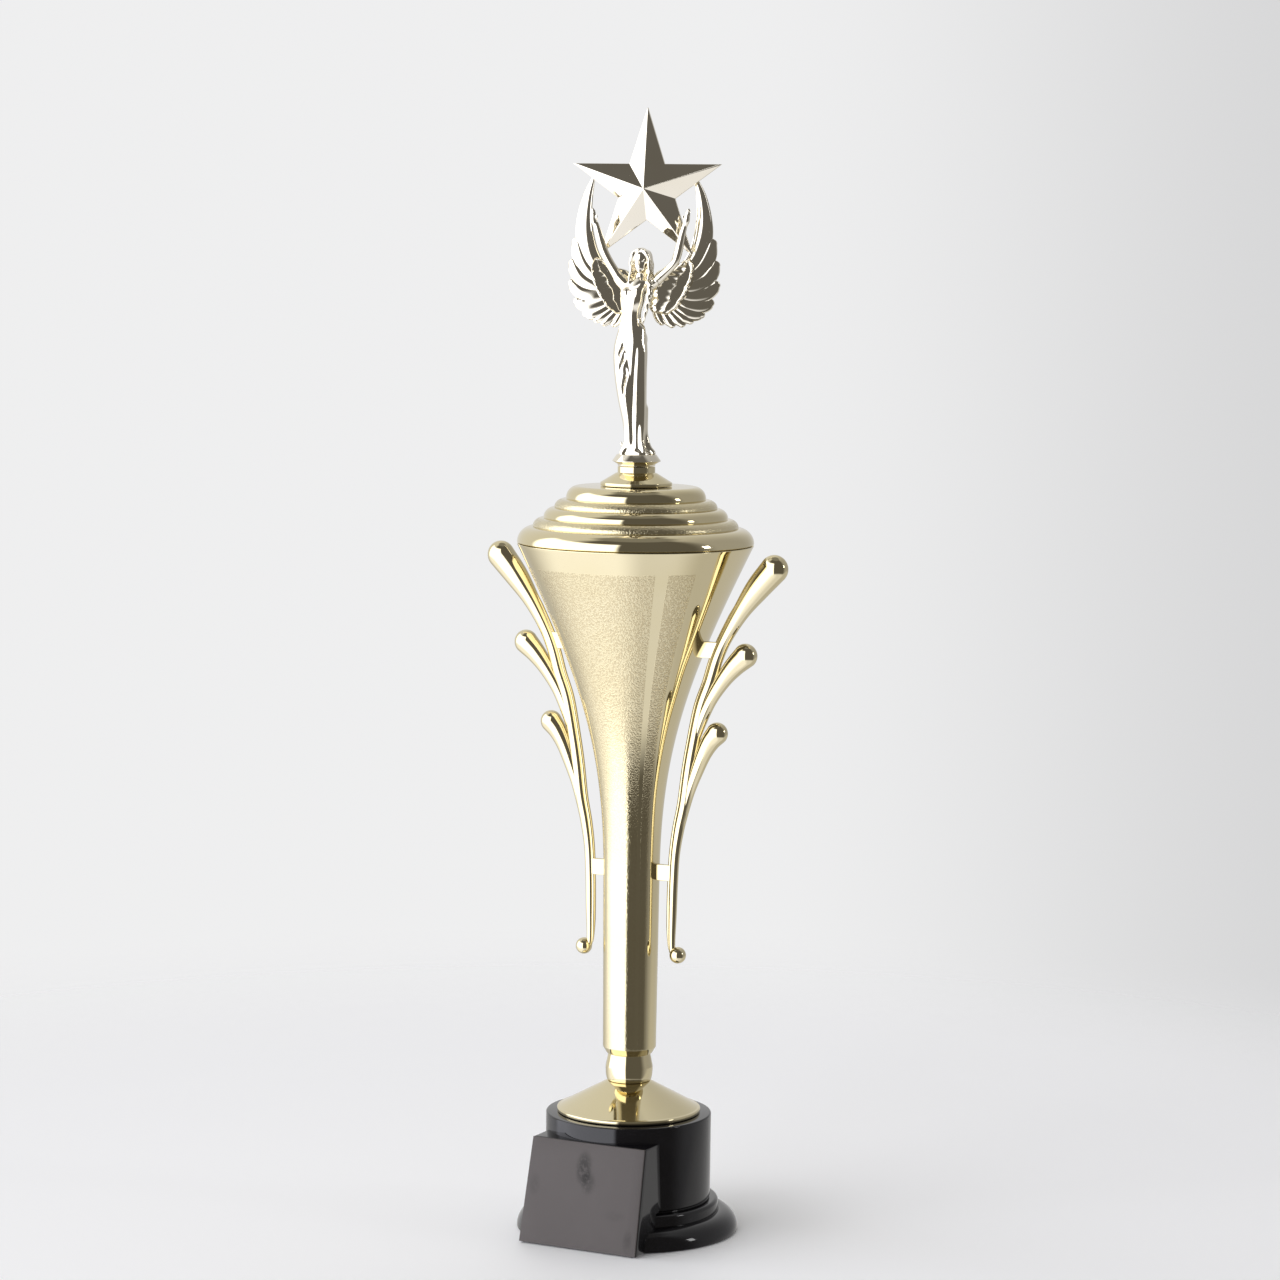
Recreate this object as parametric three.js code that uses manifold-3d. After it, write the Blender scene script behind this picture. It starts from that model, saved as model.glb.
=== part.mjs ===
// Star trophy: a weighted round pedestal with a sloping plaque, a trumpet-shaped cup with two leaf handles,
// a stepped lid that lifts off, and on the lid a winged figure that holds up a star.
// Millimetres. +Z is up, the plaque faces -Y and the handles lie on +X and -X.
// The origin is the centre of the underside. Pieces that touch keep the seat gap between them.

import * as THREE from "three";
import { mergeVertices } from "three/addons/utils/BufferGeometryUtils.js";
import Module from "manifold-3d";

const wasm = await Module();
wasm.setup();

// Sides of the round pieces, and the clearances that the fits share
const largeSides = 32;
const smallSides = 20;
const threadSides = 12;
const seatGap = 0.3;
const slotPlay = 0.35;
const lidPlay = 0.5;
const boreClearance = 0.3;

// Pedestal: a moulded shell, open beneath
const rimLift = 0.4;
const pedestalHeight = 63.1;
const columnRadius = 44.5;
const ringRadius = columnRadius + 4.4;
const footRadius = columnRadius + 15.1;
const footHeight = 10.6;
const ringHeight = 6.2;
const grooveDepth = 0.9;
const pedestalWall = 2.5;
const pedestalDeck = 3;
const edgeRound = 0.5;

// What closes and weights the pedestal
const padThickness = 0.9;
const padMargin = 2.2;
const coverRadius = footRadius - 5.4;
const coverThickness = 2.2;
const bossCount = 3;
const bossCircle = ringRadius - 2.4;
const bossRadius = 3.6;
const weightRadius = bossCircle - bossRadius - 1.9;
const weightThickness = 12;
const bossBlend = 4;
const screwRadius = 1.2;
const screwHeadRadius = 2.8;
const screwHeadHeight = 1.2;
const screwReach = 6;
const screwTipSpace = 1;
const coverScrewAngle = Math.PI / 6;

// Plaque block and its plate: the plate's foot stands just in front of the pedestal's foot, and its head
// clears the column by the headroom, so the two set how far it leans
const plateFront = footRadius + seatGap;
const plateBottom = 0.9;
const plateTop = rimLift + pedestalHeight - 8.4;
const plateHeadroom = 2.5;
const plateSlant = (plateFront - columnRadius - plateHeadroom) / (plateTop - plateBottom);
const plateLean = Math.atan(plateSlant);
const plateThickness = 1;
const plateFootWidth = 68.8;
const plateHeadWidth = 66.3;
const blockWall = 2;

// Cone and knob between pedestal and cup
const coneRadius = 38.6;
const coneHeight = 16.5;
const coneLip = 2.4;
const coneNeck = 11.5;
const coneWall = 1.8;
const knobHeight = 14.7;
const knobRadius = 12.7;
const knobFoot = 11.5;
const knobHead = 11.3;
const knobWaistShare = 0.48;

// Cup: a near-straight stem and a flared mouth, moulded apart and bonded in a half-lap. Its heights, and
// those of the handles, are drawn for a cup of the drawn height, and follow cupHeight from it.
const drawnCupHeight = 274.5;
const cupHeight = 274.5;
const cupScale = cupHeight / drawnCupHeight;
const cupRimRadius = 63.1;
const cupWall = 2;
const cupFloor = 5.6;
const stemFootRadius = 14.3;
const stemHeadRadius = stemFootRadius + 0.8;
const stemHeight = 94.4 * cupScale;
const cupChamfer = 3.4;
const cupToe = stemFootRadius - 2;
const flareStiffness = 70 * cupScale;
const flareLean = 34.6;
const flareDrop = 72.1 * cupScale;
const flareRows = 11;
const radiusHalvings = 30;
const lapHeight = 118 * cupScale;
const lapDepth = 6;
const lapWall = (cupWall - seatGap) / 2;

// Threaded rod that draws cup, knob, cone and pedestal together
const rodRadius = 2.9;
const rodNutAcross = 10;
const rodNutHeight = 5;
const rodWasherRadius = 9;
const washerThickness = 1.3;
const rodTail = 1.7;

// Handles: three strokes each. A point is [height above the cup's foot, distance out from the cup's wall,
// half the width]; the tab that holds a handle goes through a slot in the cup's wall.
const stemStroke = [
  [55.2, 12.6, 1.8],
  [56.4, 10.4, 1.8],
  [60.4, 9.8, 1.85],
  [76.4, 9.8, 2.3],
  [93.4, 10, 2.45],
  [109.4, 10.6, 2.55],
  [123.4, 12, 2.9],
  [137.4, 13.8, 3.2],
  [154.4, 13.7, 3.3],
  [168.4, 13.3, 3.3],
  [189.4, 12.1, 3.4],
  [203.4, 12.6, 3.5],
  [216.1, 11.8, 3.5],
  [227.4, 12.3, 3.6],
  [241.4, 14.6, 4.7],
  [253.9, 18.1, 6.6],
  [264.9, 22.6, 7.6],
];
const middleStroke = [
  [172.4, 13.3, 2.8],
  [184.9, 14.8, 3.3],
  [194.9, 16.6, 3.6],
  [204.9, 19.8, 4.4],
  [212.4, 23.2, 5.5],
  [218.4, 27.2, 6.6],
];
const lowerStroke = [
  [123.4, 12.4, 2.4],
  [134.4, 14.1, 2.8],
  [144.4, 15.9, 3],
  [154.4, 18, 3.6],
  [164.4, 20.2, 4.3],
  [171.4, 22.5, 5.2],
  [176.2, 25.3, 6],
];
const handleDepthShare = 0.86;
const ballRadius = 4.45;
const ballHeight = 55.4;
const ballOut = 13.4;
const beadRadius = 1.25;
const beadOffsetShare = 0.95;
const tabHeights = [99.4 * cupScale, 220.4 * cupScale];
const tabHeight = 8.7;
const tabThickness = 2.8;
const barbLength = 2.4;
const barbStep = 0.9;

// Lid: five rounded steps, each [tread, rise] from the rim inwards, and a skirt that hangs in the mouth
const lidSteps = [
  [8.4, 8.7],
  [5.6, 4.7],
  [5.7, 5.5],
  [6.1, 4.7],
  [6.2, 6.8],
];
const lidRimInset = 0.1;
const lidWall = 2;
const stepRows = 3;
const skirtDepth = 8.7;
const skirtWall = 1.6;
const skirtRise = 5.2;

// Riser under the figure, and the stud that holds both to the lid
const riserHeight = 10.2;
const riserRadius = 19.1;
const riserBand = 1.7;
const riserNeck = 10;
const collarHeight = 3.2;
const studRadius = 2.4;
const studNutAcross = 8;
const studNutHeight = 4;
const studWasherRadius = 6.5;
const studTail = 1.6;
const studDepth = 4.6;

// Figure, turned a little from the plaque, with its foot disc, wings and star
const figureTurn = THREE.MathUtils.degToRad(12);
const figureHeight = 108.3;
const discHeight = 6.2;
const discFoot = 9.9;
const discEdge = 13;
const discHead = 10.5;
const discEdgeShare = 0.42;
const drawnStarRadius = 42.5;
const starNotch = 0.382;
const starRelief = 7.3;
const starEdge = 1.8;
const starSetback = 2.3;
const starCentre = [2.3, 139.7];
const wingThickness = 2.2;
const wingSweep = 8;

// The tables below are drawn for a figure of this height, and follow figureHeight from it
const drawnHeight = 108.3;
// Body: [x, y, height, half the width, half the depth]
const bodyRings = [
  [0, 0, 0, 9.5, 6.5],
  [0, 0, 3, 6.6, 5],
  [-0.4, 0, 9.5, 4.85, 4.2],
  [-0.8, 0, 19, 6.6, 5.2],
  [-1.6, 0, 28, 7.2, 5.6],
  [-3, 0.2, 42, 8.8, 6.6],
  [-4, 0.5, 57, 10, 7.4],
  [-3.9, 0, 66, 7.4, 5.8],
  [-3.7, -0.3, 73, 5.7, 4.8],
  [-3, -0.8, 80, 7.2, 5.6],
  [-2.2, -0.8, 86, 7.8, 5.4],
  [-1.6, 0, 90.5, 8.4, 4.2],
  [-0.8, 0.3, 94, 3, 3],
  [-0.3, 0.2, 98, 2.6, 2.8],
];
// Arms: [x, height, half the width] from the shoulder to the fingertip
const leftArm = [
  [-4, 87.5, 3],
  [-9.5, 91, 3.1],
  [-18.2, 104, 2.7],
  [-21.8, 113, 2.65],
  [-24.5, 122.2, 1.7],
  [-24.8, 126.5, 1.9],
  [-24.8, 130.2, 0.8],
];
const rightArm = [
  [2, 87.5, 3],
  [8, 91, 3.1],
  [19.3, 100.5, 2.7],
  [22.4, 111, 2.65],
  [24.5, 122.2, 1.7],
  [25.9, 126.5, 1.9],
  [26.6, 129.9, 0.8],
];
// Head and hair: centre, then half sizes
const headBall = [0, -0.4, 102, 4.6, 5.2, 6.3];
const hairBall = [0.4, 2.6, 98.5, 5.9, 3.6, 8.8];
// Wing: the outer edge from the tip down to the back, and the inner edge back up, as [x, height]
const wingOuter = [
  [28.5, 144.7],
  [32.5, 138.2],
  [34.9, 127.2],
  [36.7, 117.2],
  [38.5, 108],
  [39.6, 98],
  [38.9, 89],
  [36.2, 81],
  [31.6, 75],
  [26, 70],
  [20.8, 67.2],
  [13.6, 67.9],
  [7, 72.4],
];
const wingInner = [
  [4, 84],
  [9, 97],
  [16, 99],
  [24.5, 104.2],
  [27.9, 113.2],
  [29.4, 127.2],
  [28.4, 137],
];

// Heights of the stack, each piece seated on the one below
const pedestalTop = rimLift + pedestalHeight;
const coneBase = pedestalTop + seatGap;
const coneTop = coneBase + coneHeight;
const knobBase = coneTop + seatGap;
const knobTop = knobBase + knobHeight;
const cupBase = knobTop + seatGap;
const cupTop = cupBase + cupHeight;
const lidBase = cupTop + seatGap;
const lidTop = lidBase + lidSteps.reduce((sum, [, rise]) => sum + rise, 0);
const riserBase = lidTop + seatGap;
const riserTop = riserBase + riserHeight;
const discBase = riserTop + seatGap;
const figureFeet = discBase + discHeight;
const coverBase = padThickness + seatGap;
const coverTop = coverBase + coverThickness;
const rodBore = rodRadius + boreClearance;
const studBore = studRadius + boreClearance;
const figureScale = figureHeight / drawnHeight;
const starRadius = drawnStarRadius * figureScale;

const gloss = (color, roughness, metalness) =>
  new THREE.MeshStandardMaterial({ color, roughness, metalness });
const finishes = {
  gold: gloss(0xd9c58a, 0.12, 1),
  figureGold: gloss(0xdccfa6, 0.1, 1),
  black: gloss(0x0f0e12, 0.15, 0),
  plate: gloss(0x4c4a4a, 0.3, 0.6),
  felt: gloss(0x1f2b24, 0.95, 0),
  iron: gloss(0x3a3836, 0.7, 0.8),
  cover: gloss(0x26262a, 0.5, 0),
  steel: gloss(0xb8bcc2, 0.35, 1),
};

// A closed geometry as a solid that can be joined and cut: corners in the same place become one, and
// triangles with no area are left out.
function solidOf(geometry) {
  const bare = geometry.clone();
  bare.deleteAttribute("normal");
  bare.deleteAttribute("uv");
  const { index, attributes } = mergeVertices(bare, 1e-4);
  const corners = [];
  for (let i = 0; i < index.count; i += 3) {
    const [a, b, c] = [0, 1, 2].map((k) => index.getX(i + k));
    if (a !== b && b !== c && c !== a) corners.push(a, b, c);
  }
  return new wasm.Manifold(
    new wasm.Mesh({
      numProp: 3,
      vertProperties: new Float32Array(attributes.position.array),
      triVerts: new Uint32Array(corners),
    }),
  );
}

const join = (...parts) => parts.reduce((sum, next) => sum.add(next));

function geometryOf(solid) {
  const made = solid.getMesh();
  const geometry = new THREE.BufferGeometry();
  const places = new THREE.BufferAttribute(made.vertProperties, made.numProp);
  geometry.setAttribute("position", places);
  geometry.setIndex(new THREE.BufferAttribute(made.triVerts, 1));
  geometry.computeVertexNormals();
  return geometry;
}

function piece(name, solid, finish) {
  const mesh = new THREE.Mesh(geometryOf(solid), finish);
  mesh.name = name;
  return mesh;
}

// A profile of [radius, height] turned about the Z axis.
function turned(profile, sides = largeSides) {
  const points = profile.map(([r, z]) => new THREE.Vector2(r, z));
  return solidOf(new THREE.LatheGeometry(points, sides).rotateX(Math.PI / 2));
}

// The same, for a ring whose profile closes on itself.
const turnedRing = (profile, sides) => turned([...profile, profile[0]], sides);

function boxBetween([x0, y0, z0], [x1, y1, z1]) {
  const box = new THREE.BoxGeometry(x1 - x0, y1 - y0, z1 - z0);
  box.translate((x0 + x1) / 2, (y0 + y1) / 2, (z0 + z1) / 2);
  return solidOf(box);
}

function cylinderBetween(radius, z0, z1, sides = smallSides, x = 0, y = 0) {
  const rod = new THREE.CylinderGeometry(radius, radius, z1 - z0, sides);
  rod.rotateX(Math.PI / 2).translate(x, y, (z0 + z1) / 2);
  return solidOf(rod);
}

function ball([x, y, z], [rx, ry, rz], sides = smallSides) {
  const sphere = new THREE.SphereGeometry(1, sides, Math.round(sides / 2));
  return solidOf(sphere.rotateX(Math.PI / 2).scale(rx, ry, rz).translate(x, y, z));
}

// A closed skin over level rings of [x, y, height, half width, half depth].
function levelSkin(rings, sides, rows) {
  const middle = rings.map(([x, y, z]) => new THREE.Vector3(x, y, z));
  const halves = rings.map(([, , , w, d]) => new THREE.Vector3(w, d, 0));
  const path = new THREE.CatmullRomCurve3(middle);
  const size = new THREE.CatmullRomCurve3(halves);
  const skin = new THREE.CylinderGeometry(1, 1, 1, sides, rows);
  const { position } = skin.attributes;
  for (let i = 0; i < position.count; i++) {
    const along = position.getY(i) + 0.5;
    const at = path.getPoint(along);
    const half = size.getPoint(along);
    const x = at.x + position.getX(i) * half.x;
    const y = at.y - position.getZ(i) * half.y;
    position.setXYZ(i, x, y, at.z);
  }
  return solidOf(skin);
}

// A closed skin along a stroke of [x, z, half width] in the XZ plane, each ring square to the stroke.
function stroke(points, sides, rows, depthShare = 1, y = 0) {
  const middle = points.map(([x, z]) => new THREE.Vector3(x, y, z));
  const halves = points.map(([, , half]) => new THREE.Vector3(half, 0, 0));
  const path = new THREE.CatmullRomCurve3(middle);
  const size = new THREE.CatmullRomCurve3(halves);
  const skin = new THREE.CylinderGeometry(1, 1, 1, sides, rows);
  const { position } = skin.attributes;
  for (let i = 0; i < position.count; i++) {
    const along = position.getY(i) + 0.5;
    const at = path.getPoint(along);
    const way = path.getTangent(along);
    const half = size.getPoint(along).x;
    const across = position.getX(i) * half;
    const deep = -position.getZ(i) * half * depthShare;
    position.setXYZ(i, at.x + way.z * across, at.y + deep, at.z - way.x * across);
  }
  return solidOf(skin);
}

// A quarter of an ellipse from a steep start to a level end, without its first point.
function roundStep([r0, z0], [r1, z1], rows) {
  return Array.from({ length: rows }, (_, k) => {
    const turn = ((k + 1) / rows) * (Math.PI / 2);
    return [r1 + (r0 - r1) * Math.cos(turn), z0 + (z1 - z0) * Math.sin(turn)];
  });
}

function hexNut(across, height, bore, base) {
  const body = new THREE.CylinderGeometry(across / Math.sqrt(3), across / Math.sqrt(3), height, 6);
  body.rotateX(Math.PI / 2).translate(0, 0, base + height / 2);
  return solidOf(body).subtract(cylinderBetween(bore, base - 1, base + height + 1, threadSides));
}

function washer(radius, bore, base) {
  const ring = cylinderBetween(radius, base, base + washerThickness);
  return ring.subtract(cylinderBetween(bore, base - 1, base + washerThickness + 1, threadSides));
}

// Outside of the pedestal, from the rim up to the edge of the deck, grown by a clearance where asked.
function pedestalOutside(grow = 0) {
  const foot = rimLift + footHeight;
  const ring = foot + ringHeight;
  const outside = [
    [footRadius, rimLift + grow],
    ...roundStep([footRadius, rimLift], [ringRadius + 0.6, foot], 4),
    [ringRadius, foot + edgeRound],
    [ringRadius, ring - 2 * edgeRound],
    [ringRadius - 2 * edgeRound, ring],
    [columnRadius - grooveDepth, ring + 2 * edgeRound],
    [columnRadius, ring + 4 * edgeRound],
    [columnRadius, pedestalTop - edgeRound],
    [columnRadius - edgeRound, pedestalTop],
  ];
  return outside.map(([r, z]) => [r + grow, z + grow]);
}

// Plaque block and plate: a slab between two planes parallel to the sloping face, given by their depths
// behind it, and narrower at the top.
function slopingSlab(nearDepth, farDepth, inset, bottom, top) {
  const slab = new THREE.BoxGeometry(2, 1, 1);
  const { position } = slab.attributes;
  for (let i = 0; i < position.count; i++) {
    const z = THREE.MathUtils.lerp(bottom, top, position.getZ(i) + 0.5);
    const up = (z - plateBottom) / (plateTop - plateBottom);
    const half = THREE.MathUtils.lerp(plateFootWidth, plateHeadWidth, up) / 2 - inset;
    const depth = position.getY(i) < 0 ? nearDepth : farDepth;
    const face = -plateFront + (z - plateBottom) * plateSlant;
    position.setXYZ(i, position.getX(i) * half, face + depth / Math.cos(plateLean), z);
  }
  return solidOf(slab);
}

const blockFront = plateThickness + seatGap;
const blockBack = blockFront + blockWall + seatGap;

const bossAngle = (k) => coverScrewAngle + (k * 2 * Math.PI) / bossCount;
const bossPlace = (k) => [bossCircle * Math.cos(bossAngle(k)), bossCircle * Math.sin(bossAngle(k))];

function pedestal() {
  const step = rimLift + footHeight + ringHeight / 2;
  const rebateRadius = coverRadius + seatGap;
  const rebateTop = coverTop + seatGap;
  const shell = turnedRing([
    ...pedestalOutside(),
    [rodBore, pedestalTop],
    [rodBore, pedestalTop - pedestalDeck],
    [columnRadius - pedestalWall, pedestalTop - pedestalDeck],
    [columnRadius - pedestalWall, step],
    [ringRadius - pedestalWall, step],
    [ringRadius - pedestalWall, rimLift + footHeight - pedestalWall],
    [coverRadius - pedestalWall, rebateTop + pedestalWall],
    [coverRadius - pedestalWall, rebateTop],
    [rebateRadius, rebateTop],
    [rebateRadius, rimLift],
  ]);
  const bosses = Array.from({ length: bossCount }, (_, k) => {
    const [x, y] = bossPlace(k);
    return cylinderBetween(bossRadius, rebateTop, step + bossBlend, threadSides, x, y);
  });
  const pilots = Array.from({ length: bossCount }, (_, k) => {
    const [x, y] = bossPlace(k);
    const top = coverTop + screwReach + screwTipSpace;
    return cylinderBetween(screwRadius + boreClearance, 0, top, threadSides, x, y);
  });
  const seat = slopingSlab(-2 * footRadius, blockBack, -footRadius, -footHeight, pedestalTop);
  const foot = turned([[0, -1], [footRadius + 1, -1], [footRadius + 1, footHeight], [0, footHeight]]);
  return join(shell, ...bosses).subtract(join(...pilots)).subtract(seat.intersect(foot));
}

function plaqueBlock() {
  const grown = pedestalOutside(seatGap);
  const envelope = turned([
    [0, -footHeight],
    [footRadius + seatGap, -footHeight],
    ...grown,
    [columnRadius + seatGap, 2 * pedestalTop],
    [0, 2 * pedestalTop],
  ]);
  const exempt = footHeight - seatGap;
  const front = slopingSlab(-2 * footRadius, blockBack - seatGap, -footRadius, -footHeight, exempt);
  const behind = 2 * columnRadius;
  const body = slopingSlab(blockFront, footRadius, 0, rimLift, plateTop);
  const pocket = slopingSlab(
    blockFront + blockWall,
    behind,
    blockWall,
    rimLift - footHeight,
    plateTop - blockWall,
  );
  const back = boxBetween([-footRadius, 0, -1], [footRadius, behind, pedestalTop]);
  return body.subtract(pocket).subtract(envelope.subtract(front)).subtract(back);
}

function bottomCover() {
  const holes = Array.from({ length: bossCount }, (_, k) => {
    const [x, y] = bossPlace(k);
    const sink = coverBase + screwHeadHeight + seatGap;
    const shank = cylinderBetween(screwRadius + boreClearance, 0, coverTop + 1, threadSides, x, y);
    return shank.add(cylinderBetween(screwHeadRadius + boreClearance, 0, sink, threadSides, x, y));
  });
  return cylinderBetween(coverRadius, coverBase, coverTop, largeSides).subtract(join(...holes));
}

function coverScrew(k) {
  const [x, y] = bossPlace(k);
  const headTop = coverBase + screwHeadHeight;
  const head = cylinderBetween(screwHeadRadius, coverBase, headTop, threadSides, x, y);
  return head.add(cylinderBetween(screwRadius, coverBase, coverTop + screwReach, threadSides, x, y));
}

function footCone() {
  const under = coneTop - coneWall;
  const lipTop = coneBase + coneLip;
  const slope = (coneRadius - coneNeck) / (coneTop - lipTop);
  return turnedRing([
    [coneRadius - edgeRound, coneBase],
    [coneRadius, coneBase + coneLip / 3],
    [coneRadius, coneBase + (2 * coneLip) / 3],
    [coneRadius - edgeRound, lipTop],
    [coneNeck, coneTop],
    [rodBore, coneTop],
    [rodBore, under],
    [coneNeck, under],
    [coneRadius - edgeRound - coneWall * slope, lipTop - coneWall / 2],
    [coneRadius - edgeRound - coneWall * slope, coneBase],
  ]);
}

function stemKnob() {
  const waist = knobBase + knobHeight * knobWaistShare;
  return turnedRing([
    [knobFoot, knobBase],
    ...roundStep([knobRadius, waist], [knobFoot, knobBase], 3).reverse().slice(1),
    [knobRadius, waist],
    [knobHead, knobTop],
    [rodBore, knobTop],
    [rodBore, knobBase],
  ]);
}

// Outer radius of the cup at a height above its foot: a straight stem, then a cubic flare to the rim.
const flare = new THREE.CubicBezierCurve(
  new THREE.Vector2(stemHeadRadius, stemHeight),
  new THREE.Vector2(stemHeadRadius, stemHeight + flareStiffness),
  new THREE.Vector2(cupRimRadius - flareLean, cupHeight - flareDrop),
  new THREE.Vector2(cupRimRadius, cupHeight),
);

function cupRadius(height) {
  if (height <= stemHeight) {
    return THREE.MathUtils.lerp(stemFootRadius, stemHeadRadius, height / stemHeight);
  }
  let low = 0;
  let high = 1;
  for (let k = 0; k < radiusHalvings; k++) {
    const middle = (low + high) / 2;
    if (flare.getPoint(middle).y < height) low = middle;
    else high = middle;
  }
  return flare.getPoint(low).x;
}

const wallInside = (height) => cupRadius(height) - cupWall;

function tabSlot(side, height) {
  const half = tabHeight / 2 + slotPlay;
  const deep = tabThickness / 2 + slotPlay;
  const middle = side * cupRadius(height);
  const reach = 4 * cupWall;
  return boxBetween(
    [middle - reach, -deep, cupBase + height - half],
    [middle + reach, deep, cupBase + height + half],
  );
}

// The wall of the cup between two heights: its outside going up, then its inside coming down.
function cupWallBetween(low, high) {
  const heights = flare.getPoints(flareRows).map(({ y }) => y).filter((y) => y > low && y < high);
  const outside = [low, ...heights, high].map((height) => [cupRadius(height), cupBase + height]);
  const inside = outside.map(([r, z]) => [r - cupWall, z]);
  return [outside, inside.reverse()];
}

function stemTube() {
  const [outside, inside] = cupWallBetween(cupChamfer, lapHeight);
  const lapFoot = cupRadius(lapHeight - lapDepth);
  const shell = turnedRing([
    [cupToe, cupBase],
    ...outside,
    [cupRadius(lapHeight) - lapWall, cupBase + lapHeight],
    [lapFoot - lapWall, cupBase + lapHeight - lapDepth],
    [lapFoot - cupWall, cupBase + lapHeight - lapDepth],
    ...inside.slice(1, -1).filter(([, z]) => z < cupBase + lapHeight - lapDepth),
    [stemFootRadius - cupWall, cupBase + cupFloor],
    [rodBore, cupBase + cupFloor],
    [rodBore, cupBase],
  ]);
  return shell.subtract(join(tabSlot(-1, tabHeights[0]), tabSlot(1, tabHeights[0])));
}

function cupBody() {
  const [outside, inside] = cupWallBetween(lapHeight + seatGap, cupHeight);
  const spigotFoot = cupRadius(lapHeight - lapDepth) - cupWall;
  const spigotBase = cupBase + lapHeight - lapDepth + seatGap;
  const shell = turnedRing([
    ...outside,
    ...inside,
    [spigotFoot, spigotBase],
    [spigotFoot + lapWall, spigotBase],
    [cupRadius(lapHeight) - lapWall - seatGap, cupBase + lapHeight + seatGap],
  ]);
  return shell.subtract(join(tabSlot(-1, tabHeights[1]), tabSlot(1, tabHeights[1])));
}

// One handle on the +X side, in the cup's own heights.
function handle() {
  const place = ([drawn, out, half]) => {
    const height = drawn * cupScale;
    return [cupRadius(height) + out, cupBase + height, half];
  };
  const strokes = [
    stroke(stemStroke.map(place), 10, 22, handleDepthShare),
    stroke(middleStroke.map(place), 10, 7, handleDepthShare),
    stroke(lowerStroke.map(place), 10, 8, handleDepthShare),
  ];
  const heads = [stemStroke, middleStroke, lowerStroke].map((points) => {
    const [x, z, half] = place(points.at(-1));
    return ball([x, 0, z], [half, half * handleDepthShare, half], 12);
  });
  const [ballX, ballZ] = place([ballHeight, ballOut, 0]);
  const curl = ball([ballX, 0, ballZ], [ballRadius, ballRadius, ballRadius], 12);
  const bead = stroke(
    stemStroke.slice(3, -1).map(place).map(([x, z, half]) => [x - beadOffsetShare * half, z, beadRadius]),
    6,
    16,
  );
  const tabs = tabHeights.flatMap((height) => {
    const inside = wallInside(height - tabHeight / 2) - seatGap;
    const low = cupBase + height - tabHeight / 2;
    const high = low + tabHeight;
    const half = tabThickness / 2;
    const root = cupRadius(height) + strokeOut(height / cupScale);
    return [
      boxBetween([inside - barbLength, -half, low], [root, half, high]),
      boxBetween([inside - barbLength, -half - barbStep, low], [inside, half + barbStep, high]),
    ];
  });
  return join(...strokes, ...heads, curl, bead, ...tabs);
}

// How far out from the cup's wall the stem stroke runs at a height of its table.
function strokeOut(height) {
  const next = stemStroke.findIndex(([h]) => h >= height);
  const [h0, out0] = stemStroke[next - 1];
  const [h1, out1] = stemStroke[next];
  return THREE.MathUtils.mapLinear(height, h0, h1, out0, out1);
}

function lid() {
  const rim = cupRimRadius - lidRimInset;
  const corners = [[rim, lidBase]];
  for (const [tread, rise] of lidSteps) {
    const [r, z] = corners.at(-1);
    corners.push([r - tread, z + rise]);
  }
  const outside = corners.slice(1).flatMap((corner, k) => roundStep(corners[k], corner, stepRows));
  const inset = lidWall * Math.SQRT1_2;
  const notches = corners.slice(1, -1).map(([r, z]) => [r - inset, z - inset]);
  const [topRadius] = corners.at(-1);
  const skirtBottom = lidBase - skirtDepth;
  const skirtRadius = wallInside(cupHeight - skirtDepth + seatGap) - lidPlay;
  return turnedRing([
    [rim, lidBase],
    ...outside,
    [studBore, lidTop],
    [studBore, lidTop - lidWall],
    [topRadius - lidWall, lidTop - lidWall],
    ...notches.reverse(),
    [skirtRadius - skirtWall, lidBase + skirtRise],
    [skirtRadius - skirtWall, skirtBottom],
    [skirtRadius, skirtBottom],
    [skirtRadius, lidBase],
  ]);
}

function figureRiser() {
  const collar = riserTop - collarHeight;
  return turnedRing(
    [
      [riserRadius, riserBase],
      [riserRadius, riserBase + riserBand],
      [riserNeck, collar],
      [riserNeck, riserTop],
      [studBore, riserTop],
      [studBore, riserBase],
    ],
    smallSides,
  );
}

const scaled = (row) => row.map((value) => value * figureScale);

// Figure with its foot disc, standing on Z 0 of its own group.
function figureBody() {
  const edge = -discHeight * (1 - discEdgeShare);
  const disc = turned(
    [
      [0, -discHeight],
      [discFoot, -discHeight],
      [discEdge, edge],
      [discHead, 0],
      [0, 0.5],
    ],
    smallSides,
  );
  const bore = cylinderBetween(studBore, -discHeight - 1, -discHeight + studDepth + seatGap, threadSides);
  const [hx, hy, hz, ha, hb, hc] = scaled(headBall);
  const [kx, ky, kz, ka, kb, kc] = scaled(hairBall);
  return join(
    disc,
    levelSkin(bodyRings.map(scaled), 14, 24),
    stroke(leftArm.map(scaled), 8, 12),
    stroke(rightArm.map(scaled), 8, 12),
    ball([hx, hy, hz], [ha, hb, hc], 12),
    ball([kx, ky, kz], [ka, kb, kc], 12),
  ).subtract(bore);
}

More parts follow.
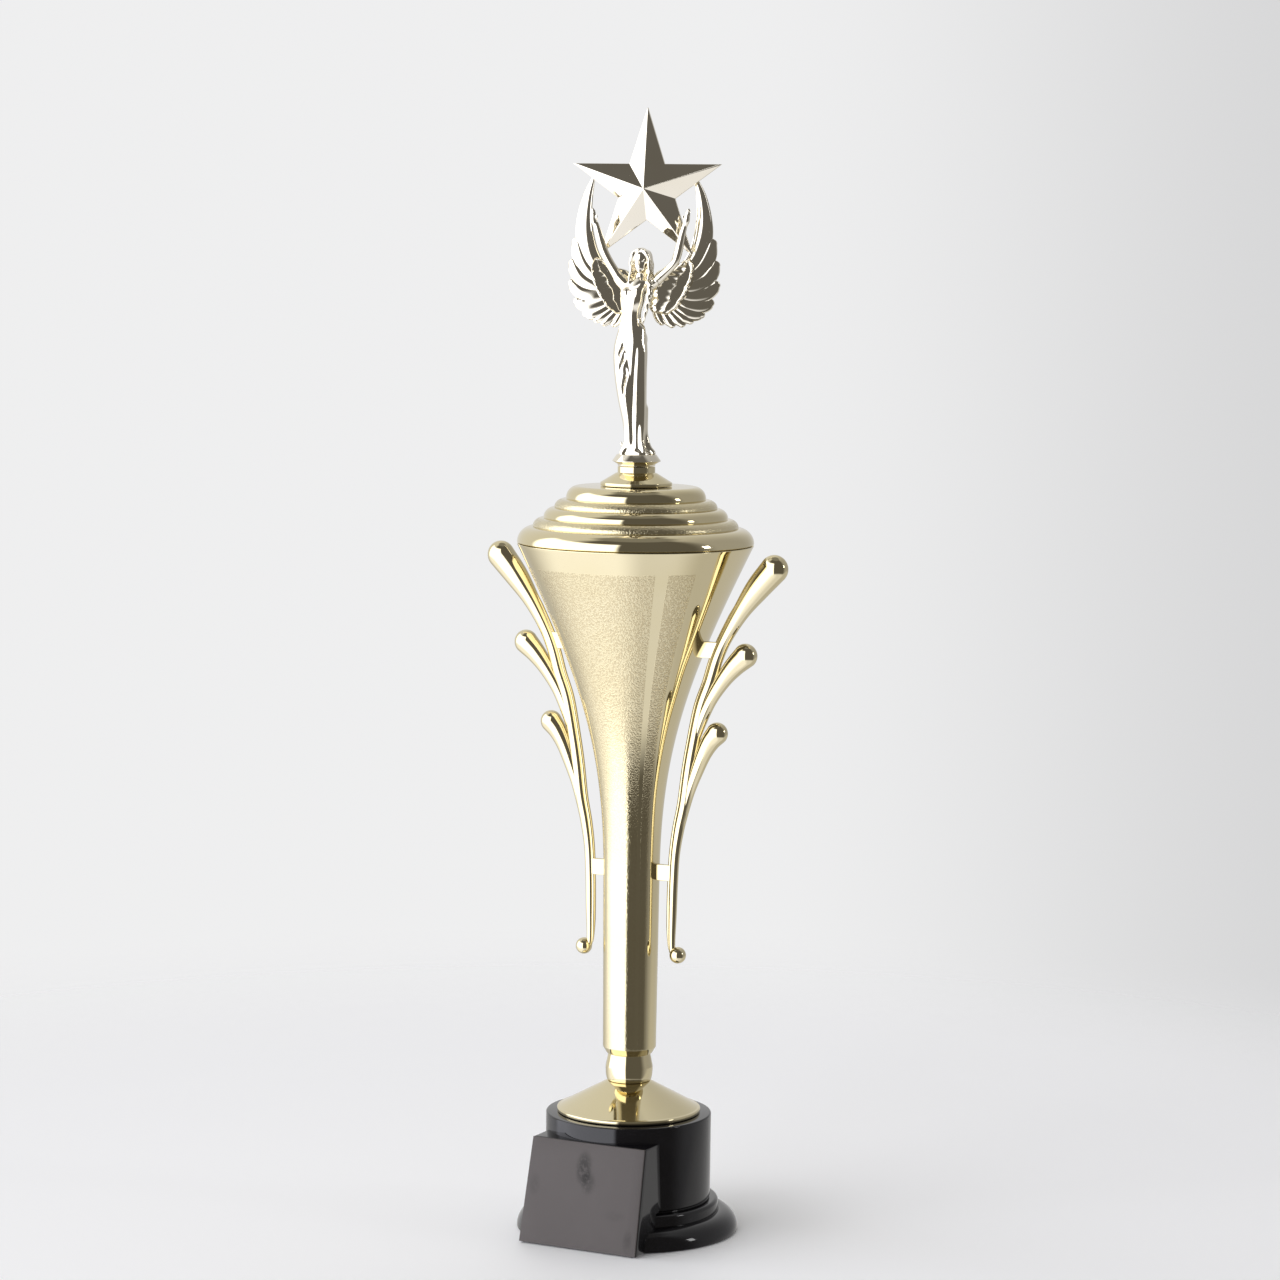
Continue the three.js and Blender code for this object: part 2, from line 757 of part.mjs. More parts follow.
// One wing, a swept plate behind the back; side is -1 or 1.
function wing(side) {
  const outline = new THREE.Shape();
  const place = ([x, z]) => new THREE.Vector2(side * x * figureScale, z * figureScale);
  const start = place(wingOuter[0]);
  outline.moveTo(start.x, start.y);
  outline.splineThru(wingOuter.slice(1).map(place));
  outline.splineThru(wingInner.map(place));
  outline.lineTo(start.x, start.y);
  const plate = new THREE.ExtrudeGeometry(outline, {
    depth: wingThickness,
    bevelEnabled: false,
    curveSegments: 1,
  });
  plate.rotateX(Math.PI / 2);
  const { position } = plate.attributes;
  const behindWing = bodyRings.filter(([, , z]) => z > wingOuter.at(-1)[1]);
  const deepest = figureScale * Math.max(...behindWing.map(([, y, , , d]) => y + d));
  const span = figureScale * Math.max(...wingOuter.map(([x]) => x));
  const back = deepest + seatGap + wingThickness;
  for (let i = 0; i < position.count; i++) {
    const out = Math.abs(position.getX(i)) / span;
    position.setY(i, position.getY(i) + back + wingSweep * out * out);
  }
  return solidOf(plate);
}

// The star: a ten-sided turning with every second corner drawn in, its hub raised towards -Y.
function star() {
  const profile = [[0, -starEdge - starRelief], [starRadius, -starEdge], [starRadius, 0], [0, 0]];
  const points = profile.map(([r, z]) => new THREE.Vector2(r, z));
  const form = new THREE.LatheGeometry(points, 10);
  const { position } = form.attributes;
  for (let i = 0; i < position.count; i++) {
    const corner = Math.floor(i / profile.length);
    const share = corner % 2 ? starNotch : 1;
    position.setX(i, position.getX(i) * share);
    position.setZ(i, position.getZ(i) * share);
  }
  const forearm = Math.max(...leftArm.slice(2).map(([, , half]) => half)) * figureScale;
  const [x, height] = scaled(starCentre);
  return solidOf(form.translate(x, forearm + starSetback + starEdge, height));
}

const trophy = new THREE.Group();

const padOutline = new THREE.Shape().absarc(0, 0, coverRadius - padMargin, 0, 2 * Math.PI);
const padSheet = { depth: padThickness, bevelEnabled: false, curveSegments: largeSides };
const pad = solidOf(new THREE.ExtrudeGeometry(padOutline, padSheet));
const weightBase = coverTop + seatGap;
const weight = cylinderBetween(weightRadius, weightBase, weightBase + weightThickness, largeSides);
trophy.add(
  piece("felt_pad", pad, finishes.felt),
  piece("bottom_cover", bottomCover(), finishes.cover),
  piece("base_weight", weight, finishes.iron),
  piece("pedestal", pedestal(), finishes.black),
  piece("plaque_block", plaqueBlock(), finishes.black),
  piece("plaque_plate", slopingSlab(0, plateThickness, 0, plateBottom, plateTop), finishes.plate),
);
for (let k = 0; k < bossCount; k++) {
  trophy.add(piece(`cover_screw_${k + 1}`, coverScrew(k), finishes.steel));
}

// Rod, with a washer and a nut under the pedestal's deck and another pair on the cup's floor
const lowerWasher = pedestalTop - pedestalDeck - seatGap - washerThickness;
const lowerNut = lowerWasher - seatGap - rodNutHeight;
const upperWasher = cupBase + cupFloor + seatGap;
const upperNut = upperWasher + washerThickness + seatGap;
const rod = cylinderBetween(rodRadius, lowerNut - rodTail, upperNut + rodNutHeight + rodTail, threadSides);
trophy.add(
  piece("tie_rod", rod, finishes.steel),
  piece("rod_washer_lower", washer(rodWasherRadius, rodBore, lowerWasher), finishes.steel),
  piece("rod_nut_lower", hexNut(rodNutAcross, rodNutHeight, rodBore, lowerNut), finishes.steel),
  piece("foot_cone", footCone(), finishes.gold),
  piece("stem_knob", stemKnob(), finishes.gold),
  piece("stem_tube", stemTube(), finishes.gold),
  piece("cup_body", cupBody(), finishes.gold),
  piece("rod_washer_upper", washer(rodWasherRadius, rodBore, upperWasher), finishes.steel),
  piece("rod_nut_upper", hexNut(rodNutAcross, rodNutHeight, rodBore, upperNut), finishes.steel),
);

// The handles are one shape; the second is the first turned half round the cup
const handleShape = handle();
const rightHandle = piece("right_handle", handleShape, finishes.gold);
const leftHandle = piece("left_handle", handleShape, finishes.gold);
leftHandle.rotation.z = Math.PI;
trophy.add(rightHandle, leftHandle);

// What lifts off: the lid, and the riser and figure that the stud draws down on it
const studWasher = lidTop - lidWall - seatGap - washerThickness;
const studNut = studWasher - seatGap - studNutHeight;
const stud = cylinderBetween(studRadius, studNut - studTail, discBase + studDepth, threadSides);
trophy.add(
  piece("lid", lid(), finishes.gold),
  piece("stud_washer", washer(studWasherRadius, studBore, studWasher), finishes.steel),
  piece("stud_nut", hexNut(studNutAcross, studNutHeight, studBore, studNut), finishes.steel),
  piece("figure_stud", stud, finishes.steel),
  piece("figure_riser", figureRiser(), finishes.gold),
);

const figure = new THREE.Group();
figure.position.z = figureFeet;
figure.rotation.z = figureTurn;
figure.add(
  piece("figure_body", figureBody(), finishes.figureGold),
  piece("left_wing", wing(-1), finishes.figureGold),
  piece("right_wing", wing(1), finishes.figureGold),
  piece("star", star(), finishes.figureGold),
);
trophy.add(figure);

export default trophy;
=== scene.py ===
import bpy
import numpy as np
from math import cos, pi, radians, sin, sqrt, tan
from mathutils import Matrix, Vector


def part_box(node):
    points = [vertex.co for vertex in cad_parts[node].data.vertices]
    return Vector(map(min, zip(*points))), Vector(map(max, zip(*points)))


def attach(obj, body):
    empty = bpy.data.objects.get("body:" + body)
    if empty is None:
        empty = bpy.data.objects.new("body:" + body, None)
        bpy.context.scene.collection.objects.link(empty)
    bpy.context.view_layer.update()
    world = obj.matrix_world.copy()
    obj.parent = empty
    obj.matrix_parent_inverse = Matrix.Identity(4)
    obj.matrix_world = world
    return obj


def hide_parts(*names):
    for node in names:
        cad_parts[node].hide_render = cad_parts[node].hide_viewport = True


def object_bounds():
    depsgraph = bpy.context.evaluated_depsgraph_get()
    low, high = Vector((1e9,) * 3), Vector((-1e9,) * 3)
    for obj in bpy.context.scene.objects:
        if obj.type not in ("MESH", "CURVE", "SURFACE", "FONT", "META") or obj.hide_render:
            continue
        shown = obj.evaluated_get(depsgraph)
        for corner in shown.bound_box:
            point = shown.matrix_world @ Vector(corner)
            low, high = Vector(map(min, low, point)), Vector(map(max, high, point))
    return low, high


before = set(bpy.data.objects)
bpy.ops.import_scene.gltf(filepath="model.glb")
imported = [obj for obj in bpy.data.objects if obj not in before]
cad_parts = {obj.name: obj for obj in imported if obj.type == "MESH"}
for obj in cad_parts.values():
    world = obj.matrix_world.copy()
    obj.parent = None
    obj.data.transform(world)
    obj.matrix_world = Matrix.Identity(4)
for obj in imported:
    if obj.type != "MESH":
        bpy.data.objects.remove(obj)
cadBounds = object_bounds()
mm = 0.001


# Camera and light first, so that every later stage can be looked at

cameraPlace = {
    "azimuth": 26.5,  # degrees from the front, towards the right handle
    "distance": 2026.6 * mm,
    "height": 533.5 * mm,
    "pitch": 6.05,
    "roll": 0.71,
    "sideways": 3.0 * mm,  # how far right of the trophy's axis it aims
    "lens": 107.6,
}


def makeCamera(values):
    turn = radians(values["azimuth"])
    right = Vector((cos(turn), sin(turn), 0))
    away = Vector((-sin(turn), cos(turn), 0))
    place = -away * values["distance"] + Vector((0, 0, values["height"]))
    drop = values["distance"] * tan(radians(values["pitch"]))
    target = right * values["sideways"] + Vector((0, 0, values["height"] - drop))
    data = bpy.data.cameras.new("camera")
    data.lens = values["lens"]
    data.sensor_width = 36
    data.clip_end = 50
    camera = bpy.data.objects.new("camera", data)
    aim = (target - place).to_track_quat("-Z", "Y").to_matrix().to_4x4()
    roll = Matrix.Rotation(radians(values["roll"]), 4, "Z")
    camera.matrix_world = Matrix.Translation(place) @ aim @ roll
    bpy.context.scene.collection.objects.link(camera)
    bpy.context.scene.camera = camera
    return away


away = makeCamera(cameraPlace)


# Shader maths: a wire is one socket, and plain sums on wires add the nodes


class Wire:
    def __init__(self, maker, socket):
        self.maker = maker
        self.socket = socket

    def calc(self, operation, *values):
        sockets = {k: v for k, v in enumerate(values)}
        return self.maker.add("ShaderNodeMath", {"operation": operation}, sockets)

    def __add__(self, other):
        return self.calc("ADD", self, other)

    def __radd__(self, other):
        return self.calc("ADD", other, self)

    def __sub__(self, other):
        return self.calc("SUBTRACT", self, other)

    def __rsub__(self, other):
        return self.calc("SUBTRACT", other, self)

    def __mul__(self, other):
        return self.calc("MULTIPLY", self, other)

    def __rmul__(self, other):
        return self.calc("MULTIPLY", other, self)

    def __truediv__(self, other):
        return self.calc("DIVIDE", self, other)

    def __pow__(self, other):
        return self.calc("POWER", self, other)

    def __gt__(self, other):
        return self.calc("GREATER_THAN", self, other)

    def __lt__(self, other):
        return self.calc("LESS_THAN", self, other)

    def __abs__(self):
        return self.calc("ABSOLUTE", self)

    def step(self, low, high):  # 0 below low, 1 above high, smooth between
        settings = {"interpolation_type": "SMOOTHSTEP"}
        return self.maker.add("ShaderNodeMapRange", settings, {0: self, 1: low, 2: high})


class Tree:
    def __init__(self, tree):
        self.tree = tree

    def add(self, kind, settings=None, sockets=None, out=0):
        node = self.tree.nodes.new(kind)
        for name, value in (settings or {}).items():
            setattr(node, name, value)
        for key, value in (sockets or {}).items():
            if isinstance(value, Wire):
                self.tree.links.new(value.socket, node.inputs[key])
            else:
                node.inputs[key].default_value = value
        return Wire(self, node.outputs[out])

    def place(self):
        return self.add("ShaderNodeTexCoord", out="Object")

    def parts(self, vector):
        split = self.add("ShaderNodeSeparateXYZ", None, {0: vector})
        return [Wire(self, split.socket.node.outputs[k]) for k in range(3)]

    def degrees(self, across, along):
        turn = self.add("ShaderNodeMath", {"operation": "ARCTAN2"}, {0: across, 1: along})
        return turn * (180 / pi)

    def noise(self, vector, scale, detail=2.0, roughness=0.5):
        sockets = {"Vector": vector, "Scale": scale, "Detail": detail, "Roughness": roughness}
        return self.add("ShaderNodeTexNoise", None, sockets)

    def blend(self, share, first, second):
        settings = {"data_type": "RGBA", "clamp_factor": True}
        return self.add("ShaderNodeMix", settings, {0: share, 6: first, 7: second}, 2)

    def bump(self, height, distance, strength=1.0, after=None):
        sockets = {"Height": height, "Distance": distance, "Strength": strength}
        if after:
            sockets["Normal"] = after
        return self.add("ShaderNodeBump", None, sockets)


class Finish(Tree):
    def __init__(self, name, **fixed):
        self.material = bpy.data.materials.new(name)
        self.material.use_nodes = True
        super().__init__(self.material.node_tree)
        self.shader = self.tree.nodes["Principled BSDF"]
        for key, value in fixed.items():
            self.shader.inputs[key.replace("_", " ")].default_value = value

    def feed(self, **wires):
        for key, wire in wires.items():
            self.tree.links.new(wire.socket, self.shader.inputs[key.replace("_", " ")])
        return self.material


# Light: what the metal reflects comes from the world, and the lamps shade the floor

studio = {
    "backdrop": (0.862, 0.862, 0.866),
    "backdropShadeRight": (0.675, 0.675, 0.68),  # painted shade: the backdrop's tone where it darkens towards the right
    "softbox": (2.3, 2.33, 2.5),
    "room": (0.125, 0.118, 0.110),
    "ceiling": (0.26, 0.255, 0.25),
    "behindLeft": (0.80, 0.795, 0.79),
    "behindRight": (0.42, 0.415, 0.42),
    "table": (1.30, 1.32, 1.45),  # the lit table, front left
    "tableFront": (0.88, 0.885, 0.94),
    "tableRight": (0.60, 0.59, 0.58),
    "floorColour": (0.93, 0.93, 0.93),
    "floorReach": 0.95,  # metres
    "fadeFrom": 0.42,  # where the floor starts to fade into the backdrop, in metres
    "fadeTo": 0.95,  # and where it has gone, as a share of its reach
}
# where one tone gives way to the next: azimuths in degrees from the camera, the rest as sines
studioEdges = {
    "softboxLeft": (-122, -112),
    "softboxRight": (-22, -15),
    "softboxTop": (0.62, 0.74),
    "ceiling": (0.90, 0.96),
    "roomToRear": (58, 90),
    "rearToRight": (-0.2, 0.8),
    "tableFront": (-30, 16),
    "tableRight": (50, 90),
    "tableLeft": (-150, -100),
    "horizon": (-0.62, -0.42),
    "horizonRises": (60, 110),
    "horizonRise": 0.36,  # how much higher the table's edge stands behind the trophy
    "backdropShadeRight": (0.02, 0.19),
}


def makeWorld(values, edges):
    # Only reflections see the room. By azimuth and by height it is a softbox at the front left, a dim room
    # at the front right, a ceiling above, the backdrop behind and a white table below.
    world = bpy.data.worlds.new("studio")
    bpy.context.scene.world = world
    world.use_nodes = True
    tree = Tree(world.node_tree)
    shader = world.node_tree.nodes["Background"]
    x, y, z = tree.parts(tree.add("ShaderNodeTexCoord", out="Generated"))
    across = x * away.y - y * away.x
    deep = x * away.x + y * away.y
    azimuth = tree.degrees(across, deep * -1.0)
    tones = {name: (*value, 1) for name, value in values.items() if isinstance(value, tuple)}
    rear = tree.blend(across.step(*edges["rearToRight"]), tones["behindLeft"], tones["behindRight"])
    room = tree.blend(abs(azimuth).step(*edges["roomToRear"]), tones["room"], rear)
    wide = azimuth.step(*edges["softboxLeft"]) * (1 - azimuth.step(*edges["softboxRight"]))
    box = wide * (1 - z.step(*edges["softboxTop"]))
    lit = tree.blend(box, room, tones["softbox"])
    lit = tree.blend(z.step(*edges["ceiling"]), lit, tones["ceiling"])
    table = tree.blend(azimuth.step(*edges["tableFront"]), tones["table"], tones["tableFront"])
    table = tree.blend(azimuth.step(*edges["tableRight"]), table, tones["tableRight"])
    table = tree.blend(1 - azimuth.step(*edges["tableLeft"]), table, tones["tableRight"])
    rise = abs(azimuth).step(*edges["horizonRises"]) * edges["horizonRise"]
    around = tree.blend(1 - (z - rise).step(*edges["horizon"]), lit, table)
    seen = tree.add("ShaderNodeLightPath", out="Is Camera Ray")
    # Camera rays see the backdrop, with painted shade that darkens it towards the right.
    behind = tree.blend(across.step(*edges["backdropShadeRight"]), tones["backdrop"], tones["backdropShadeRight"])
    final = tree.blend(seen, around, behind)
    world.node_tree.links.new(final.socket, shader.inputs["Color"])


def makeFloor(values):
    # A round sheet of paper at z = 0: rings of quads about one flat piece in the middle.
    sides = 96
    reach = values["floorReach"]
    around = np.linspace(0, 2 * pi, sides, endpoint=False)
    rings = np.linspace(0, 1, 24)[1:] * reach
    points = np.stack([np.outer(rings, np.cos(around)), np.outer(rings, np.sin(around))], -1)
    flat = np.concatenate([points, np.zeros(points.shape[:2] + (1,))], -1).reshape(-1, 3)
    ring, side = np.meshgrid(np.arange(len(rings) - 1), np.arange(sides), indexing="ij")
    here = ring * sides
    beyond = here + sides
    after = (side + 1) % sides
    faces = np.stack([here + side, beyond + side, beyond + after, here + after], -1)
    mesh = bpy.data.meshes.new("floor")
    mesh.from_pydata(flat.tolist(), [], faces.reshape(-1, 4).tolist() + [list(range(sides))])
    floor = bpy.data.objects.new("floor", mesh)
    bpy.context.scene.collection.objects.link(floor)
    finish = Finish("floorPaper", Base_Color=(*values["floorColour"], 1), Roughness=0.6)
    x, y = finish.parts(finish.place())[:2]
    distance = (x * x + y * y) ** 0.5
    finish.feed(Alpha=1 - distance.step(values["fadeFrom"], reach * values["fadeTo"]))
    mesh.materials.append(finish.material)
    floor.visible_glossy = False


softLights = [
    # name, azimuth from the camera (left is negative), height, distance, width, tall, power, seen in gloss
    ("keySoftbox", -58, 0.95, 1.6, 1.0, 1.3, 9, False),
    ("rightWindow", 74, 1.05, 2.2, 0.30, 0.5, 3, True),
    ("topFill", 170, 1.9, 1.2, 1.2, 1.2, 7, False),
]


def makeLights(rows):
    aimHeight = cadBounds[0][2] * 0.5 + cadBounds[1][2] * 0.5
    for name, side, height, distance, width, tall, power, inGloss in rows:
        data = bpy.data.lights.new(name, "AREA")
        data.shape = "RECTANGLE"
        data.size, data.size_y = width, tall
        data.energy = power
        light = bpy.data.objects.new(name, data)
        light.visible_glossy = inGloss
        turn = radians(cameraPlace["azimuth"] + side)
        place = Vector((sin(turn) * distance, -cos(turn) * distance, height))
        aim = Vector((0, 0, aimHeight)) - place
        turned = aim.to_track_quat("-Z", "Y").to_matrix().to_4x4()
        light.matrix_world = Matrix.Translation(place) @ turned
        bpy.context.scene.collection.objects.link(light)


makeWorld(studio, studioEdges)
makeFloor(studio)
makeLights(softLights)
bpy.context.scene.view_settings.view_transform = "Standard"
print("stage: camera, floor and lights are set")


# Surfaces


def putMesh(name, points, faces, body, slot, *nodes):
    mesh = bpy.data.meshes.new(name)
    mesh.from_pydata(points.tolist(), [], faces)
    mesh.update()
    made = bpy.data.objects.new(name, mesh)
    bpy.context.scene.collection.objects.link(made)
    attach(made, body)
    if nodes:
        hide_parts(*nodes)
    return made


def gridFaces(rows, columns, wrapRows, wrapColumns):
    # One quad from each grid point to the next in its row and in the row after.
    across = np.arange(columns - (not wrapColumns))
    i, k = np.meshgrid(np.arange(rows - (not wrapRows)), across, indexing="ij")
    here, below = i * columns, (i + 1) % rows * columns
    after = (k + 1) % columns
    return np.stack([here + k, here + after, below + after, below + k], -1).reshape(-1, 4)


def sheetOf(grid, wrapRows=False, wrapColumns=False, caps=False):
    # A grid of points (rows, columns, 3) as points and quads; caps closes the first and last row.
    # The faces point outwards: if the volume by the divergence sum is negative, they are reversed.
    rows, columns = grid.shape[:2]
    faces = gridFaces(rows, columns, wrapRows, wrapColumns)
    points = grid.reshape(-1, 3)
    tops = []
    if caps:
        tops = [np.arange(columns)[::-1], (rows - 1) * columns + np.arange(columns)]
    corner = points[faces]
    square = np.cross(corner[:, 2] - corner[:, 0], corner[:, 3] - corner[:, 1])
    volume = ((corner[:, 0] - points[0]) * square).sum()
    if volume < 0:
        faces = faces[:, ::-1]
        tops = [top[::-1] for top in tops]
    return points, faces.tolist() + [top.tolist() for top in tops]


def joined(shells):  # several (points, faces) as one
    points, faces, start = [], [], 0
    for shellPoints, shellFaces in shells:
        points.append(shellPoints)
        faces += [[corner + start for corner in face] for face in shellFaces]
        start += len(shellPoints)
    return np.concatenate(points), faces


def rounded(corners, steps=6):
    # Profile corners (r, z, radius): each corner with a radius becomes an arc that touches both its sides.
    made = []
    for k, (r, z, radius) in enumerate(corners):
        if radius <= 0:
            made.append([(r, z)])
            continue
        here = np.array([r, z])
        before = np.array(corners[k - 1][:2]) - here
        after = np.array(corners[(k + 1) % len(corners)][:2]) - here
        before, after = before / np.linalg.norm(before), after / np.linalg.norm(after)
        half = np.arccos(np.clip(before @ after, -1, 1)) / 2
        reach = radius / tan(half)
        centre = here + (before + after) / np.linalg.norm(before + after) * radius / sin(half)
        start, end = here + before * reach - centre, here + after * reach - centre
        share = np.linspace(0, 1, steps)[:, None]
        spread = pi - 2 * half
        arc = (np.sin((1 - share) * spread) * start + np.sin(share * spread) * end) / sin(spread)
        made.append([tuple(point) for point in centre + arc])
    return np.array([point for group in made for point in group])


def turnedGrid(profile, sides=192):
    # Each profile point (r, z) in millimetres goes round the Z axis: x = r cos a, y = r sin a.
    angle = np.linspace(0, 2 * pi, sides, endpoint=False)
    r, z = profile[:, 0, None], profile[:, 1, None]
    return np.stack([r * np.cos(angle), r * np.sin(angle), z + 0 * angle], -1) * mm


def turnedPiece(name, profile, body, slot, node, material, sides=192):
    grid = turnedGrid(profile, sides)
    points, faces = sheetOf(grid, wrapRows=True, wrapColumns=True)
    made = putMesh(name, points, faces, body, slot, node)
    return finished(made, material)


def finished(made, material, sharpAngle=40):
    made.data.materials.clear()
    made.data.materials.append(material)
    made.data.polygons.foreach_set("use_smooth", np.ones(len(made.data.polygons), bool))
    made.data.set_sharp_from_angle(angle=radians(sharpAngle))
    return made


def smoothPath(points, count):
    # A Catmull-Rom curve through rows of numbers, sampled evenly by row: each column is one cubic.
    points = np.asarray(points, float)
    ends = [2 * points[0] - points[1], *points, 2 * points[-1] - points[-2]]
    knots = np.array(ends)
    at = np.linspace(0, len(points) - 1, count)
    k = np.minimum(at.astype(int), len(points) - 2)
    t = (at - k)[:, None]
    a, b, c, d = knots[k], knots[k + 1], knots[k + 2], knots[k + 3]
    return b + 0.5 * t * (c - a + t * (2 * a - 5 * b + 4 * c - d + t * (3 * (b - c) + d - a)))


def spanOf(node):  # a node's lowest and highest corners in millimetres
    low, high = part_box(node)
    return np.array(low) / mm, np.array(high) / mm


def quarterRound(start, end, steps):
    # Steep at the start and level at the end: r = r1 + (r0 - r1) cos t, z = z0 + (z1 - z0) sin t.
    t = np.linspace(0, pi / 2, steps)
    reach = start[0] - end[0]
    rise = end[1] - start[1]
    return [(end[0] + reach * cos(a), start[1] + rise * sin(a), 0) for a in t]


# Finishes

goldTone = {
    "cup": (0.77, 0.68, 0.44, 1),
    "cupDeep": (0.68, 0.58, 0.30, 1),
    "cupGrainShade": (0.56, 0.46, 0.27, 1),  # painted shade: the darker tone painted onto the frosting's grains
    "figure": (0.95, 0.89, 0.745, 1),
    "drift": 0.25,  # how far the tone drifts towards the deep one
    "grainShading": 0.75,  # how far the frosting's grains are painted towards that painted shade
    "gloss": 0.045,
    "frost": 0.15,
    "grain": 1150,  # grains of the frosting to a metre, and the coarser swell under them
    "coarse": 640,
    "grainDepth": 0.00008,
}


# how fine each wander of the skin is, in cells to a metre
skinScale = {
    "drift": 22,
    "haze": 90,
    "specks": 900,
    "swell": 45,
}


def goldPolish(finish, place, bright="cup", deep="cupDeep"):
    # The metallised skin: a faint drift of tone, a breath of haze, and specks of dust under the skin.
    drift = finish.noise(place, skinScale["drift"], 3).step(0.35, 0.7)
    tone = finish.blend(drift * goldTone["drift"], goldTone[bright], goldTone[deep])
    haze = finish.noise(place, skinScale["haze"], 4, 0.6).step(0.4, 0.75)
    specks = finish.noise(place, skinScale["specks"], 1).step(0.76, 0.80)
    roughness = goldTone["gloss"] + haze * 0.03 + specks * 0.12
    wave = finish.noise(place, skinScale["swell"], 1)
    swell = finish.bump(wave, 0.00006, 0.5)
    return tone, roughness, finish.bump(specks, 0.00002, 0.4, swell)


def plainGold():
    finish = Finish("metallisedGold", Metallic=1.0)
    tone, roughness, normal = goldPolish(finish, finish.place())
    return finish.feed(Base_Color=tone, Roughness=roughness, Normal=normal)


def figureGold():
    finish = Finish("champagneGold", Metallic=1.0)
    tone, roughness, normal = goldPolish(finish, finish.place(), "figure", "cup")
    return finish.feed(Base_Color=tone, Roughness=roughness, Normal=normal)


def pebble(finish, place, mask, normal):
    # Fine pebbled frosting on the masked parts only, its grains about a millimetre across.
    grain = finish.noise(place, goldTone["grain"], 1.5, 0.6).step(0.38, 0.62)
    coarse = finish.noise(place, goldTone["coarse"], 1)
    height = (grain * 0.8 + coarse * 0.2) * mask
    return grain, finish.bump(height, goldTone["grainDepth"], 1.0, normal)


cupPanels = {
    "front": 37.0,  # half the width of the front panel, in degrees
    "sideFrom": 44.0,
    "sideTo": 60.0,
    "plainBand": 12.0,  # the bright band under the rim, in millimetres
    "plainToe": 4.0,
    "fainterBelow": (0.17, 0.33),  # the frosting gains strength between these heights, in metres
    "faintest": 0.2,
}


def cupGold(values):
    # Frosted where the angle from the front or back lies in a panel and the height between the plain bands.
    finish = Finish("cupGold", Metallic=1.0)
    place = finish.place()
    x, y, z = finish.parts(place)
    low, high = spanOf("stem_tube")[0], spanOf("cup_body")[1]
    angle = finish.degrees(abs(x), abs(y))
    front = angle < values["front"]
    side = (angle > values["sideFrom"]) * (angle < values["sideTo"])
    tall = (z < (high[2] - values["plainBand"]) * mm) * (z > (low[2] + values["plainToe"]) * mm)
    strength = values["faintest"] + z.step(*values["fainterBelow"]) * (1 - values["faintest"])
    mask = (front + side) * tall * strength
    tone, roughness, normal = goldPolish(finish, place)
    frosted = roughness + mask * (goldTone["frost"] - goldTone["gloss"])
    grain, normal = pebble(finish, place, mask, normal)
    # Painted shade: the frosting's grains are painted darker, towards the shaded tone.
    tone = finish.blend(grain * mask * goldTone["grainShading"], tone, goldTone["cupGrainShade"])
    return finish.feed(Base_Color=tone, Roughness=frosted, Normal=normal)


def lidGold(rings, inner):
    # Frosted between each pair of heights in rings, outside the inner radius: all in millimetres.
    finish = Finish("lidGold", Metallic=1.0)
    place = finish.place()
    x, y, z = finish.parts(place)
    radius = (x * x + y * y) ** 0.5
    mask = sum((z > low * mm) * (z < high * mm) for low, high in rings)
    outside = mask * (radius > inner * mm)
    tone, roughness, normal = goldPolish(finish, place)
    frosted = roughness + outside * (goldTone["frost"] - goldTone["gloss"]) * 0.8
    normal = pebble(finish, place, outside, normal)[1]
    return finish.feed(Base_Color=tone, Roughness=frosted, Normal=normal)


darkTone = {
    "black": (0.0055, 0.005, 0.006, 1),
    "dust": (0.04, 0.036, 0.04, 1),
    "plate": (0.060, 0.051, 0.047, 1),
    "smudge": (0.016, 0.014, 0.012, 1),
    "bloom": (0.082, 0.072, 0.067, 1),  # the paler clouds on the plate
}


def blackGloss():
    finish = Finish("blackGloss", IOR=1.5)
    place = finish.place()
    haze = finish.noise(place, 60, 4, 0.6).step(0.45, 0.8)
    specks = finish.noise(place, 1100, 1).step(0.74, 0.80)
    tone = finish.blend(specks * 0.3 + haze * 0.08, darkTone["black"], darkTone["dust"])
    wave = finish.noise(place, 30, 1)
    roughness = 0.05 + haze * 0.05 + specks * 0.1
    return finish.feed(Base_Color=tone, Roughness=roughness, Normal=finish.bump(wave, 0.00008, 0.4))


plateSmudges = [
    # where a thumb has been, on the plate: x, z, half width, half height in millimetres, and how dark
    (-1.0, 42.0, 5.0, 9.5, 1.0),
    (2.5, 35.0, 4.5, 6.5, 0.7),
    (-29.0, 31.0, 3.5, 6.0, 0.35),
    (29.0, 8.0, 3.0, 6.5, 0.45),
    (20.0, 20.0, 7.0, 3.0, 0.2),
]


def smudgedPlate(spots):
    # Each smudge is a soft ellipse, across squared plus up squared, with a ragged edge.
    finish = Finish("smudgedPlate", Metallic=0.35)
    place = finish.place()
    x, z = finish.parts(place)[::2]
    ragged = finish.noise(place, 420, 5, 0.7)
    broad = finish.noise(place, 60, 3, 0.6)
    total = 0
    for middle, height, wide, tall, dark in spots:
        across = (x - middle * mm) / (wide * mm)
        up = (z - height * mm) / (tall * mm)
        spot = 1 - (across * across + up * up + (ragged - 0.5) * 1.1).step(0.0, 1.3)
        total = total + spot * dark
    stain = total * ragged.step(0.3, 0.6)
    tone = finish.blend(stain * 0.8, darkTone["plate"], darkTone["smudge"])
    tone = finish.blend(broad.step(0.4, 0.8) * 0.2, tone, darkTone["bloom"])
    roughness = 0.34 + broad * 0.06 + stain * 0.2
    scratches = finish.bump(finish.noise(place, 1400, 2), 0.00001, 0.4)
    return finish.feed(Base_Color=tone, Roughness=roughness, Normal=scratches)


def grainy(name, low, high, scale, roughness, depth, **fixed):
    # A plain ground with grain: the tone, the roughness and the bump follow one noise.
    finish = Finish(name, **fixed)
    place = finish.place()
    grain = finish.noise(place, scale, 5, 0.65)
    tone = finish.blend(grain.step(0.3, 0.7), low, high)
    rough = roughness + grain * 0.15
    return finish.feed(Base_Color=tone, Roughness=rough, Normal=finish.bump(grain, depth))


